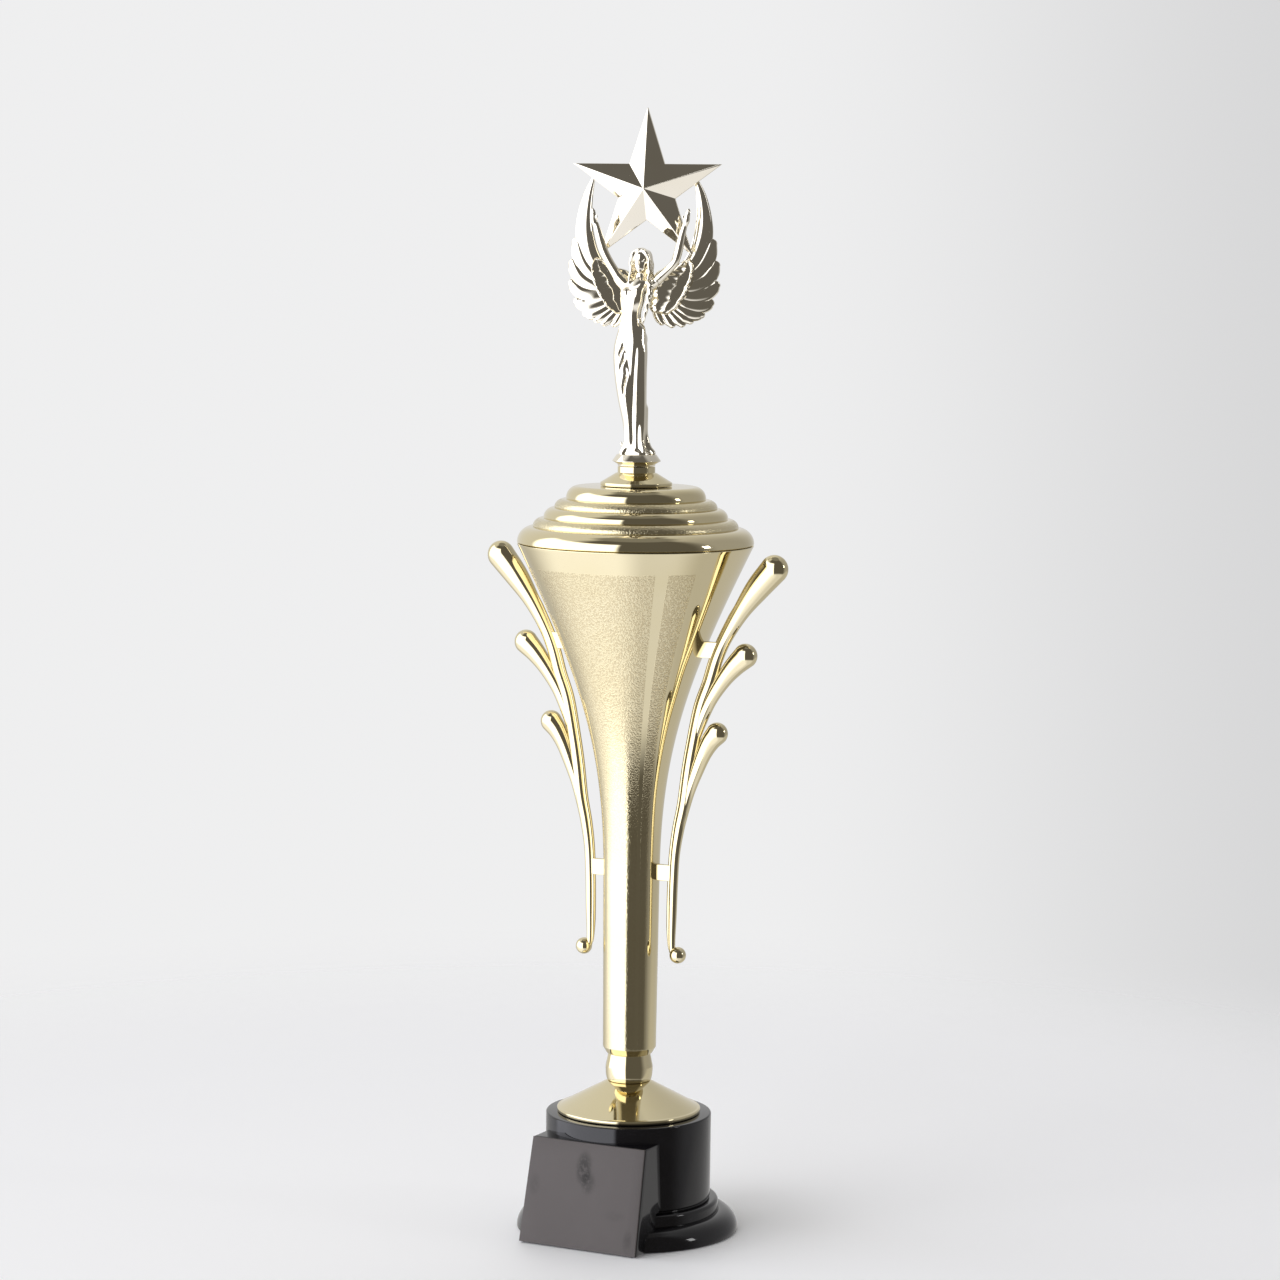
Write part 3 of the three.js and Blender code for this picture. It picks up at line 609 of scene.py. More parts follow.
innerTone = {
    "steel": ((0.50, 0.51, 0.53, 1), (0.70, 0.71, 0.72, 1)),
    "iron": ((0.05, 0.05, 0.05, 1), (0.14, 0.135, 0.13, 1)),
    "felt": ((0.015, 0.03, 0.02, 1), (0.05, 0.08, 0.06, 1)),
    "cover": ((0.02, 0.02, 0.022, 1), (0.045, 0.045, 0.05, 1)),
}

gold = plainGold()
figureTone = figureGold()
black = blackGloss()
steel = grainy("zincSteel", *innerTone["steel"], 700, 0.28, 0.00003, Metallic=1.0)
iron = grainy("castIron", *innerTone["iron"], 500, 0.6, 0.0002, Metallic=0.7)
felt = grainy("feltPad", *innerTone["felt"], 1800, 0.8, 0.0003)
coverPlastic = grainy("coverPlastic", *innerTone["cover"], 900, 0.45, 0.00005)


def keepNode(names, material):
    for name in names:
        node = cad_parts[name]
        node.data.materials.clear()
        node.data.materials.append(material)


keepNode(["felt_pad"], felt)
keepNode(["bottom_cover"], coverPlastic)
keepNode(["base_weight"], iron)
keepNode([f"cover_screw_{k}" for k in (1, 2, 3)] + ["tie_rod", "figure_stud"], steel)
keepNode([f"rod_{kind}_{end}" for kind in ("washer", "nut") for end in ("lower", "upper")], steel)
keepNode(["stud_washer", "stud_nut"], steel)
print("finishes: gold, black, plate, steel, iron and felt are mixed")


# Pedestal

pedestalShape = {
    "columnRadius": 44.5,
    "ringOut": 4.4,  # how far the small ring stands out from the column
    "footHeight": 10.6,
    "ringHeight": 6.2,
    "wall": 2.5,
    "deck": 3.0,
    "rebateOut": 54.5,
    "rebateTop": 3.7,
    "bore": 3.2,
    "edge": 0.8,
    "footSeam": 0.6,
    "neckIn": 0.9,  # the small step where the column leaves the ring
    "rebateLedge": 2.8,
    "blockDepth": 3.6,  # how far behind the plate's face the foot is cut flat
}


def makePedestal(values, face):
    # A turned shell: foot flare, small ring, column and deck outside, and the same steps hollow inside.
    low, high = spanOf("pedestal")
    rim, top, foot = low[2], high[2], high[0]
    column = values["columnRadius"]
    neck = column - values["neckIn"]
    ring = column + values["ringOut"]
    shoulder = rim + values["footHeight"]
    ledge = shoulder + values["ringHeight"]
    seam = values["footSeam"]
    inner = column - values["wall"]
    halfway = shoulder + values["ringHeight"] / 2
    recess = values["rebateOut"] - values["rebateLedge"]
    corners = [
        (foot, rim, 0.15),
        *quarterRound((foot, rim + 0.4), (ring + seam, shoulder), 22),
        (ring, shoulder - 0.35, 0.1),
        (ring, ledge, 2.0),
        (neck, ledge, 0.3),
        (neck, ledge + 0.7, 0.3),
        (column, ledge + 1.3, 0.25),
        (column, top, values["edge"]),
        (values["bore"], top, 0.2),
        (values["bore"], top - values["deck"], 0),
        (inner, top - values["deck"], 0.6),
        (inner, halfway, 0.3),
        (ring - values["wall"], halfway, 0.3),
        (ring - values["wall"], shoulder - values["wall"], 0.3),
        (recess, values["rebateTop"] + 2.2, 0.3),
        (recess, values["rebateTop"], 0),
        (values["rebateOut"], values["rebateTop"], 0),
        (values["rebateOut"], rim, 0),
    ]
    grid = turnedGrid(rounded(corners), 256)
    # The foot is flat where the plaque block stands against it: y is kept behind the block's inner plane.
    plane = face(grid[..., 2] / mm, values["blockDepth"]) * mm
    inFoot = grid[..., 2] < (shoulder + 0.2) * mm
    grid[..., 1] = np.where(inFoot, np.maximum(grid[..., 1], plane), grid[..., 1])
    points, faces = sheetOf(grid, wrapRows=True, wrapColumns=True)
    finished(putMesh("pedestal_shell", points, faces, "trophy", "black_gloss", "pedestal"), black)
    return column, shoulder, ledge


plaqueShape = {
    "lean": 13.4,  # degrees from upright
    "thickness": 1.0,
    "gap": 0.3,
    "footWidth": 68.8,
    "headWidth": 66.3,
    "edge": 0.45,
    "plateEdge": 0.18,
    "footReach": 5.0,  # how far past the column the block's back goes, down at the foot
    "backGap": 0.6,
}


def plaqueFace(z, depth=0.0):
    # y of the plane that lies depth behind the plate's face, at height z: both in millimetres.
    low = spanOf("plaque_plate")[0]
    slope = radians(plaqueShape["lean"])
    return low[1] + (z - low[2]) * tan(slope) + depth / cos(slope)


def halfWidth(z):
    # The plaque narrows in a straight line from its foot to its head.
    low, high = spanOf("plaque_plate")
    share = (z - low[2]) / (high[2] - low[2])
    return (plaqueShape["footWidth"] * (1 - share) + plaqueShape["headWidth"] * share) / 2


def makeBlock(values, column, shoulder, ledge):
    # Level rings: along the leaning front, round to the sides, back to the column and along its arc.
    low, high = spanOf("plaque_block")
    edge = values["edge"]
    depth = values["thickness"] + values["gap"]
    rise = np.concatenate([
        low[2] + edge * (1 - np.cos(np.linspace(0, pi / 2, 6))),
        np.linspace(low[2] + edge, high[2] - edge, 60)[1:-1],
        high[2] - edge * (1 - np.sin(np.linspace(0, pi / 2, 6))),
    ])
    nearFoot = np.clip(edge - (rise - low[2]), 0, None)
    nearHead = np.clip(edge - (high[2] - rise), 0, None)
    pull = edge - np.sqrt(np.clip(edge ** 2 - nearFoot ** 2 - nearHead ** 2, 0, None))
    reach = np.where(rise > shoulder, column + pedestalShape["ringOut"], column + values["footReach"])
    reach = np.where(rise > ledge + 1.5, column, reach) - values["backGap"]
    rings = []
    for z, inset, back in zip(rise, pull, reach):
        half = halfWidth(z) - inset
        front = plaqueFace(z, depth) + inset
        turn = np.linspace(0, pi / 2, 5)
        corner = np.stack([half - edge + edge * np.sin(turn), front + edge - edge * np.cos(turn)], -1)
        meet = -sqrt(max(back ** 2 - half ** 2, 1.0))
        sideLine = np.stack([np.full(8, half), np.linspace(front + edge, meet, 9)[1:]], -1)
        arc = np.linspace(half, 0, 24)[1:]
        backLine = np.stack([arc, np.maximum(-np.sqrt(back ** 2 - arc ** 2), front + 0.3)], -1)
        frontLine = np.stack([np.linspace(0, half - edge, 12)[:-1], np.full(11, front)], -1)
        right = np.concatenate([frontLine, corner, sideLine, backLine])
        left = right[::-1][1:-1] * (-1, 1)
        ring = np.concatenate([right, left])
        rings.append(np.concatenate([ring, np.full((len(ring), 1), z)], -1))
    points, faces = sheetOf(np.array(rings) * mm, wrapColumns=True, caps=True)
    made = putMesh("plaque_block_shell", points, faces, "trophy", "black_gloss", "plaque_block")
    finished(made, black, 30)


def makePlate(values):
    # A plate between two leaning planes: loops round its rim from the back to the face, softly edged.
    low, high = spanOf("plaque_plate")
    edge = values["plateEdge"]
    back = values["thickness"]
    steps = [(edge, back), (0, back - edge), (0, edge), (edge * 0.3, edge * 0.3), (edge, 0)]
    loops = []
    for inset, rise in steps:
        bottom, top = low[2] + inset, high[2] - inset
        loop = []
        for z, side in ((bottom, -1), (bottom, 1), (top, 1), (top, -1)):
            loop.append((side * (halfWidth(z) - inset), plaqueFace(z, rise), z))
        loops.append(loop)
    corner = np.array(loops)
    after = np.roll(corner, -1, axis=1)
    share = np.linspace(0, 1, 10, endpoint=False)[None, None, :, None]
    grid = corner[:, :, None] * (1 - share) + after[:, :, None] * share
    grid = grid.reshape(len(loops), -1, 3)
    points, faces = sheetOf(grid * mm, wrapColumns=True, caps=True)
    made = putMesh("plaque_sheet", points, faces, "trophy", "dark_plate", "plaque_plate")
    finished(made, smudgedPlate(plateSmudges), 25)


column, shoulder, ledge = makePedestal(pedestalShape, plaqueFace)
makeBlock(plaqueShape, column, shoulder, ledge)
makePlate(plaqueShape)
print("pedestal, block and plate are in place")


# Cone and knob

stemShape = {
    "bore": 3.2,
    "lip": 2.4,
    "neck": 11.5,
    "wall": 1.8,
    "knobFoot": 11.5,
    "knobHead": 11.3,
    "knobWaist": 0.48,
}


def makeCone(values):
    # A turned shell: rolled lip, straight cone up to the neck, and the same a wall's thickness in.
    low, high = spanOf("foot_cone")
    rim, base, top = high[0], low[2], high[2]
    lip = base + values["lip"]
    corners = [
        (rim - 0.2, base, 0.3),
        (rim, base + 0.5, 0.3),
        (rim + 0.1, lip - 0.2, 0.9),
        (rim - 1.5, lip + 0.1, 0.25),
        (values["neck"], top, 0.3),
        (values["bore"], top, 0),
        (values["bore"], top - values["wall"], 0),
        (values["neck"] - 1, top - values["wall"], 0.3),
        (rim - 2.4, lip - 1.2, 0.3),
        (rim - 2.0, base, 0),
    ]
    turnedPiece("foot_cone_skin", rounded(corners), "trophy", "gold_metallised", "foot_cone", gold, 224)


def makeKnob(values):
    # A turned barrel: a quarter ellipse from its foot out to the waist, then straight in to its head.
    low, high = spanOf("stem_knob")
    widest, base, top = high[0], low[2], high[2]
    waist = base + (top - base) * values["knobWaist"]
    turn = np.linspace(0, pi / 2, 12)
    reach = widest - values["knobFoot"]
    bowl = [(values["knobFoot"] + reach * sin(a), waist - (waist - base) * cos(a), 0) for a in turn]
    corners = [
        *bowl,
        (widest, waist + 0.5, 0.2),
        (values["knobHead"], top, 0.25),
        (values["bore"], top, 0),
        (values["bore"], base, 0),
    ]
    turnedPiece("stem_knob_skin", rounded(corners), "trophy", "gold_metallised", "stem_knob", gold, 160)


makeCone(stemShape)
makeKnob(stemShape)


# Cup

cupShape = {
    "toe": 12.3,
    "chamfer": 3.4,
    "stemFoot": 14.3,
    "stemHead": 15.1,
    "stemHeight": 94.4,
    "stiffness": 70.0,
    "flareLean": 34.6,
    "flareDrop": 72.1,
    "wall": 2.0,
    "floor": 5.6,
    "bore": 3.2,
    "rimEdge": 0.3,
}
cupFoot = spanOf("stem_tube")[0][2]
cupTall = spanOf("cup_body")[1][2] - cupFoot


def flarePoint(values, t):
    # The flare is one cubic from the top of the stem to the rim, in radius and height above the foot.
    rim, height = spanOf("cup_body")[1][0], cupTall
    knots = np.array([
        [values["stemHead"], values["stemHeight"]],
        [values["stemHead"], values["stemHeight"] + values["stiffness"]],
        [rim - values["flareLean"], height - values["flareDrop"]],
        [rim, height],
    ])
    t = np.asarray(t, float)[..., None]
    weights = [(1 - t) ** 3, 3 * t * (1 - t) ** 2, 3 * t ** 2 * (1 - t), t ** 3]
    return sum(weight * knot for weight, knot in zip(weights, knots))


flareTable = flarePoint(cupShape, np.linspace(0, 1, 400))


def cupRadius(height):  # at a height above the cup's foot
    taper = cupShape["stemHead"] - cupShape["stemFoot"]
    stem = cupShape["stemFoot"] + taper * height / cupShape["stemHeight"]
    flare = np.interp(height, flareTable[:, 1], flareTable[:, 0])
    return np.where(height < cupShape["stemHeight"], stem, flare)


def makeCup(values):
    # A turned shell: chamfered foot, straight stem and flare outside, and the flare less the wall inside.
    base = cupFoot
    flare = flarePoint(values, np.linspace(0, 1, 110))
    outside = [(r, base + z, 0) for r, z in flare[:-1]]
    inside = [(r - values["wall"], base + z, 0) for r, z in flare[-2::-1]]
    rim = flare[-1]
    corners = [
        (values["toe"], base, 0.25),
        (values["stemFoot"], base + values["chamfer"], 0.5),
        *outside,
        (rim[0], base + rim[1], values["rimEdge"]),
        (rim[0] - values["wall"], base + rim[1], values["rimEdge"]),
        *inside,
        (values["stemFoot"] - values["wall"], base + values["floor"], 1.0),
        (values["bore"], base + values["floor"], 0),
        (values["bore"], base, 0),
    ]
    profile = rounded(corners)
    skin = cupGold(cupPanels)
    made = turnedPiece("cup_shell", profile, "trophy", "gold_metallised", "cup_body", skin, 256)
    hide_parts("stem_tube")


makeCup(cupShape)
print("cone, knob and cup are turned")


# Handles: three strokes each, as rows of height above the cup's foot, distance out from the wall, half width

handleShape = {
    "stem": [
        (55.2, 12.9, 1.7), (56.0, 10.8, 1.8), (60.4, 9.8, 1.85), (76.4, 9.8, 2.3), (93.4, 10.0, 2.45),
        (109.4, 10.6, 2.55), (123.4, 12.0, 2.9), (137.4, 13.8, 3.2), (154.4, 13.7, 3.3),
        (168.4, 13.3, 3.3), (189.4, 12.1, 3.4), (203.4, 12.6, 3.5), (216.1, 11.8, 3.5),
        (227.4, 12.3, 3.6), (241.4, 14.6, 4.7), (253.9, 18.1, 6.6), (264.9, 22.6, 7.6),
    ],
    "middle": [
        (172.4, 13.3, 2.8), (184.9, 14.8, 3.3), (194.9, 16.6, 3.6), (204.9, 19.8, 4.4),
        (212.4, 23.2, 5.5), (218.4, 27.2, 6.6),
    ],
    "lower": [
        (123.4, 12.4, 2.4), (134.4, 14.1, 2.8), (144.4, 15.9, 3.0), (154.4, 18.0, 3.6),
        (164.4, 20.2, 4.3), (171.4, 22.5, 5.2), (176.2, 25.3, 6.0),
    ],
    "depthShare": 0.86,
    "ball": (55.4, 13.4, 4.45),
    "bead": 1.25,
    "beadOffset": 0.95,
    "beadFrom": 58.0,
    "beadTo": 252.0,
    "tabs": (99.4, 220.4),
    "tabHeight": 8.7,
    "tabThickness": 2.8,
    "barb": 2.4,
    "barbStep": 0.9,
    "tabEdge": 0.35,
}


def strokeShell(rows, count, sides, depthShare=1.0):
    # A round bar along rows of (x, z, half width) in the XZ plane, with both ends rounded like a ball:
    # ring = centre + across * half * cos a + depth * half * depthShare * sin a.
    path = smoothPath(rows, count)
    way = np.gradient(path[:, :2], axis=0)
    way /= np.linalg.norm(way, axis=1)[:, None]
    cap = np.linspace(0, radians(84), 9)[1:, None]
    head = path[-1, :2] + way[-1] * path[-1, 2] * np.sin(cap)
    tail = path[0, :2] - way[0] * path[0, 2] * np.sin(cap)
    centre = np.concatenate([tail[::-1], path[:, :2], head])
    shrink = np.cos(cap[:, 0])
    half = np.concatenate([path[0, 2] * shrink[::-1], path[:, 2], path[-1, 2] * shrink])
    way = np.concatenate([np.repeat([way[0]], len(cap), 0), way, np.repeat([way[-1]], len(cap), 0)])
    around = np.linspace(0, 2 * pi, sides, endpoint=False)
    across = np.cos(around)
    x = centre[:, :1] + way[:, 1:] * half[:, None] * across
    z = centre[:, 1:] - way[:, :1] * half[:, None] * across
    grid = np.stack([x, half[:, None] * depthShare * np.sin(around), z], -1)
    return sheetOf(grid, wrapColumns=True, caps=True)


def ballShell(centre, size, rows, sides):
    # An ellipsoid: z = c sin v, x and y round it, with the poles closed by small caps.
    v = np.linspace(-1, 1, rows)[:, None] * radians(86)
    a = np.linspace(0, 2 * pi, sides, endpoint=False)
    grid = np.stack([np.cos(v) * np.cos(a), np.cos(v) * np.sin(a), np.sin(v) + 0 * a], -1)
    return sheetOf(grid * size + centre, wrapColumns=True, caps=True)


def boxShell(low, high, edge):
    # A box with rounded edges: rounded rectangles stacked up, their corners growing with the edge's turn.
    low, high = np.array(low, float), np.array(high, float)
    turn = np.linspace(0.12, pi / 2, 5)
    rows = [(edge * (1 - sin(a)), low[2] + edge * (1 - cos(a))) for a in turn]
    rows += [(inset, low[2] + high[2] - z) for inset, z in rows[::-1]]
    quarter = np.linspace(0, pi / 2, 5)
    loops = []
    for inset, z in rows:
        radius = edge - inset
        loop = []
        for k, (sx, sy) in enumerate(((1, 1), (-1, 1), (-1, -1), (1, -1))):
            cx = (high[0] if sx > 0 else low[0]) - sx * edge
            cy = (high[1] if sy > 0 else low[1]) - sy * edge
            a = quarter + k * pi / 2
            loop.append(np.stack([cx + radius * np.cos(a), cy + radius * np.sin(a), z + 0 * a], -1))
        loops.append(np.concatenate(loop))
    return sheetOf(np.array(loops), wrapColumns=True, caps=True)


def makeHandles(values):
    # Each handle is three bars, a ball at the foot, a bead along the stem's inner side and two tabs.
    def placed(rows):
        rows = np.array(rows, float)
        return np.stack([cupRadius(rows[:, 0]) + rows[:, 1], cupFoot + rows[:, 0], rows[:, 2]], -1)

    depth = values["depthShare"]
    shells = [strokeShell(placed(values["stem"]), 200, 32, depth)]
    shells.append(strokeShell(placed(values["middle"]), 70, 32, depth))
    shells.append(strokeShell(placed(values["lower"]), 70, 32, depth))
    height, out, radius = values["ball"]
    centre = (float(cupRadius(height)) + out, 0, cupFoot + height)
    shells.append(ballShell(centre, radius, 28, 40))
    path = smoothPath(placed(values["stem"]), 200)
    along = (path[:, 1] - cupFoot > values["beadFrom"]) & (path[:, 1] - cupFoot < values["beadTo"])
    bead = path[along].copy()
    ends = np.clip(np.minimum(np.arange(len(bead)), np.arange(len(bead))[::-1]) / 12, 0, 1)
    bead[:, 0] -= values["beadOffset"] * bead[:, 2]
    bead[:, 2] = values["bead"] * (0.35 + 0.65 * ends)
    shells.append(strokeShell(bead, 160, 20))
    stem = np.array(values["stem"])
    for tab in values["tabs"]:
        inside = float(cupRadius(tab - values["tabHeight"] / 2)) - cupShape["wall"] - 0.3
        start = inside - values["barb"]
        root = float(cupRadius(tab)) + float(np.interp(tab, stem[:, 0], stem[:, 1]))
        half = values["tabThickness"] / 2
        barb = half + values["barbStep"]
        foot = cupFoot + tab - values["tabHeight"] / 2
        top = foot + values["tabHeight"]
        shells.append(boxShell((start, -half, foot), (root, half, top), values["tabEdge"]))
        shells.append(boxShell((start, -barb, foot), (inside, barb, top), values["tabEdge"]))
    points, faces = joined(shells)
    for name, side in (("right_handle", 1), ("left_handle", -1)):
        turned = points * (side * mm, side * mm, mm)
        made = putMesh(name + "_skin", turned, faces, "trophy", "gold_metallised", name)
        finished(made, gold, 35)


makeHandles(handleShape)
print("handles are on the cup")


# Lid and riser

lidShape = {
    # tread and rise of each step, from the rim inwards
    "steps": [(8.4, 8.7), (5.6, 4.7), (5.7, 5.5), (6.1, 4.7), (6.2, 6.8)],
    "frostFrom": 30.0,  # the radius outside which the low steps are frosted
    "groove": 0.3,
    "wall": 2.0,
    "skirtDepth": 8.7,
    "skirtWall": 1.6,
    "skirtRise": 5.2,
    "play": 0.5,
    "bore": 2.7,
}
riserShape = {
    "band": 1.7,
    "neck": 10.0,
    "collar": 3.2,
    "bore": 2.7,
}


def makeLid(values):
    # A turned shell: each step is a quarter ellipse of its tread and rise, and a skirt hangs in the mouth.
    low, high = spanOf("lid")
    base = low[2] + values["skirtDepth"]
    top = high[2]
    r, z = high[0], base
    outside, corners, frosted = [], [], []
    for k, (tread, rise) in enumerate(values["steps"]):
        first = (r, z + values["groove"])
        if k == 0:
            outside.append((r - 0.5, z, 0.2))
            first = (r, z + 0.5)
        else:
            outside.append((r - values["groove"], z, 0.1))
        outside += quarterRound(first, (r - tread + values["groove"] * 0.5, z + rise), 18)
        if k % 2:
            frosted.append((z, z + rise - 0.4))
        r, z = r - tread, z + rise
        corners.append((r, z))
    wall = values["wall"]
    notches = [(cr - wall * 0.7, cz - wall * 0.7, 0.4) for cr, cz in corners[:-1]][::-1]
    foot = base - values["skirtDepth"]
    skirt = float(cupRadius(cupTall - values["skirtDepth"] + 0.3)) - cupShape["wall"] - values["play"]
    corners = [
        *outside,
        (values["bore"], top, 0),
        (values["bore"], top - wall, 0),
        (corners[-1][0] - wall, top - wall, 0.5),
        *notches,
        (skirt - values["skirtWall"], base + values["skirtRise"], 0.3),
        (skirt - values["skirtWall"], foot, 0.3),
        (skirt, foot, 0.3),
        (skirt, base, 0.2),
    ]
    skin = lidGold(frosted, values["frostFrom"])
    turnedPiece("lid_skin", rounded(corners), "lid_assembly", "gold_metallised", "lid", skin, 256)


def makeRiser(values):
    # A turned piece: a band, a cone in to the collar, and the collar up to the figure's disc.
    low, high = spanOf("figure_riser")
    r, base, top = high[0], low[2], high[2]
    collar = top - values["collar"]
    corners = [
        (r, base, 0.25),
        (r, base + values["band"], 0.3),
        (values["neck"] + 1.2, collar - 0.5, 0.8),
        (values["neck"], collar, 0.2),
        (values["neck"], top, 0.3),
        (values["bore"], top, 0),
        (values["bore"], base, 0),
    ]
    profile = rounded(corners)
    turnedPiece("riser_skin", profile, "lid_assembly", "gold_metallised", "figure_riser", gold, 160)


makeLid(lidShape)
makeRiser(riserShape)
print("lid and riser are turned")


# Figure, wings and star: drawn in the figure's own frame, in millimetres, standing on 0 and facing -Y

figureShape = {
    "turn": 12.0,  # degrees from the plaque's side towards the right handle
    "voxel": 0.34,
    "smoothing": 3,  # passes over the whole figure, then over the dress alone
    "calming": 22,
    "twist": -30.0,
    "headShift": 1.2,
    "discFoot": 9.9,
    "discEdge": 13.0,
    "discHead": 10.5,
    "discRise": 2.6,  # from the underside up to the sharp edge
    "discHeight": 6.2,
    "studBore": 2.7,
    "studDepth": 4.9,
    # body: x, y, height, half the width, half the depth
    "body": [
        (0.0, 0.0, -1.0, 8.6, 6.2), (0.0, 0.0, 1.2, 7.9, 5.8), (-0.2, 0.0, 4.0, 5.6, 4.6),
        (-0.4, 0.0, 9.5, 4.7, 4.2), (-0.8, 0.0, 19, 6.2, 5.0), (-1.6, 0.0, 28, 7.0, 5.5),
        (-3.0, 0.2, 42, 8.7, 6.4), (-4.0, 0.5, 57, 9.9, 7.1), (-3.9, 0.0, 66, 7.3, 5.7),
        (-3.7, -0.3, 73, 5.6, 4.7), (-3.2, -0.8, 80, 6.9, 5.2), (-2.8, -0.8, 86, 7.3, 4.9),
        (-2.0, 0.0, 90.5, 7.0, 3.8), (-1.0, 0.5, 93.5, 4.0, 2.9), (-0.4, 0.4, 97, 2.4, 2.4),
    ],
}
# limbs and drapes: x, y, height, half the width
figureLimbs = {
    "leftLeg": [(-6.0, -0.6, 66, 4.4), (-7.0, -1.6, 55, 5.8), (-6.3, -2.0, 42, 5.8), (-5.2, -1.7, 29, 4.9),
                (-3.8, -1.2, 16, 3.5), (-3.9, -1.6, 7, 2.5), (-7.2, -3.2, 0.6, 1.5)],
    "rightLeg": [(0.6, -0.8, 66, 3.6), (1.9, -2.0, 55, 3.9), (1.9, -2.4, 42, 3.7), (2.0, -2.1, 29, 3.3),
                 (2.6, -1.8, 16, 2.7), (3.0, -2.4, 7, 2.1), (5.0, -4.6, 0.6, 1.5)],
    "rearHem": [(3.6, 0.5, 24, 2.4), (4.0, 0.8, 12, 2.0), (6.0, 0.4, 4, 1.7), (9.2, -0.2, 0.6, 1.3)],
    "curl": [(-5.6, -1.0, 3.2, 1.1), (-7.4, -1.2, 4.2, 0.9), (-8.6, -1.3, 5.6, 0.7),
             (-8.0, -1.3, 6.4, 0.5)],
    "leftArm": [(-5.2, 0.2, 87.5, 2.8), (-9.3, 0.3, 90.8, 2.9), (-13.8, 0.2, 97.2, 2.45),
                (-18.0, 0.0, 104.4, 2.3), (-20.4, -0.2, 110.4, 2.25), (-22.2, -0.2, 116.4, 1.9),
                (-23.6, -0.2, 121.0, 1.45)],
    "rightArm": [(2.6, 0.2, 87.5, 2.8), (8.2, 0.3, 90.8, 2.9), (14.2, 0.2, 95.8, 2.5),
                 (19.2, 0.0, 101.0, 2.2), (21.4, -0.2, 107.4, 2.3), (23.0, -0.2, 114.6, 1.9),
                 (24.6, -0.2, 120.6, 1.45)],
    "leftPalm": [(-24.2, -0.2, 120.6, 1.35), (-24.9, -0.5, 123.4, 1.75), (-24.9, -0.7, 125.6, 1.4)],
    "rightPalm": [(24.6, -0.2, 120.2, 1.35), (25.6, -0.5, 123.2, 1.75), (26.1, -0.7, 125.4, 1.4)],
    "neck": [(-0.8, 0.6, 89, 2.6), (-0.3, 0.4, 94, 2.2), (0.0, 0.1, 98.5, 2.3)],
}
# small forms of the head and body: centre, then half sizes
figureBalls = [
    (0.0, -0.2, 102.6, 4.3, 4.9, 5.9),
    (0.0, -1.7, 99.2, 3.1, 3.3, 3.9),
    (0.0, -5.35, 100.9, 0.55, 0.85, 1.35),
    (-1.65, -4.45, 102.3, 0.95, 0.6, 0.42),
    (1.65, -4.45, 102.3, 0.95, 0.6, 0.42),
    (0.0, -4.75, 98.5, 1.05, 0.5, 0.26),
    (0.0, -4.65, 97.95, 0.85, 0.5, 0.3),
    (0.0, -3.9, 96.5, 1.2, 1.0, 0.9),
    (-5.9, -3.5, 84.6, 3.0, 2.9, 3.2),
    (0.5, -3.7, 84.6, 3.0, 2.9, 3.2),
    (-7.2, 3.4, 60.5, 4.9, 4.4, 6.4),
    (-0.6, 3.4, 60.5, 4.9, 4.4, 6.4),
]


def limbShell(rows, count=60, sides=20):
    # A bar along rows of (x, y, z, half width): rings of side * cos a + depth * sin a, square to the path.
    path = smoothPath(rows, count)
    way = np.gradient(path[:, :3], axis=0)
    way /= np.linalg.norm(way, axis=1)[:, None]
    side = np.cross(way, (0.0, -1.0, 0.0))
    side /= np.linalg.norm(side, axis=1)[:, None]
    depth = np.cross(side, way)
    cap = np.linspace(0, radians(80), 6)[1:, None]
    centre = np.concatenate([
        (path[0, :3] - way[0] * path[0, 3] * np.sin(cap))[::-1],
        path[:, :3],
        path[-1, :3] + way[-1] * path[-1, 3] * np.sin(cap),
    ])
    shrink = np.cos(cap[:, 0])
    half = np.concatenate([path[0, 3] * shrink[::-1], path[:, 3], path[-1, 3] * shrink])
    side = np.concatenate([np.repeat(side[:1], len(cap), 0), side, np.repeat(side[-1:], len(cap), 0)])
    depth = np.concatenate([np.repeat(depth[:1], len(cap), 0), depth, np.repeat(depth[-1:], len(cap), 0)])
    a = np.linspace(0, 2 * pi, sides, endpoint=False)[None, :, None]
    ring = side[:, None] * np.cos(a) + depth[:, None] * np.sin(a)
    return sheetOf(centre[:, None] + half[:, None, None] * ring, wrapColumns=True, caps=True)


def levelShell(rows, twist, count=160, sides=64):
    # Level ellipses, each turned by the twist so that the flatter front faces a little aside.
    path = smoothPath(rows, count)
    a = np.linspace(0, 2 * pi, sides, endpoint=False)
    across = path[:, 3:4] * np.cos(a)
    deep = path[:, 4:5] * np.sin(a)
    turn = radians(twist)
    x = path[:, :1] + across * cos(turn) - deep * sin(turn)
    y = path[:, 1:2] + across * sin(turn) + deep * cos(turn)
    grid = np.stack([x, y, path[:, 2:3] + 0 * a], -1)
    return sheetOf(grid, wrapColumns=True, caps=True)


hairShape = {
    # two balls of hair, over the skull and at the nape: centre, then half sizes
    "skull": ((0.0, 0.9, 102.9), (4.9, 4.9, 6.0)),
    "nape": ((0.0, 2.9, 95.5), (5.3, 2.7, 8.0)),
    "strands": 6,  # on each side of the parting
    "radius": 0.95,
    "wave": 0.38,
    "waves": 3.2,
    "longLock": [(5.6, -3.0, 91.5, 1.25), (7.2, -4.6, 87.0, 1.3), (6.5, -5.3, 81.0, 1.15),
                 (5.2, -5.3, 75.0, 0.9), (3.6, -5.0, 68.6, 0.5)],
}


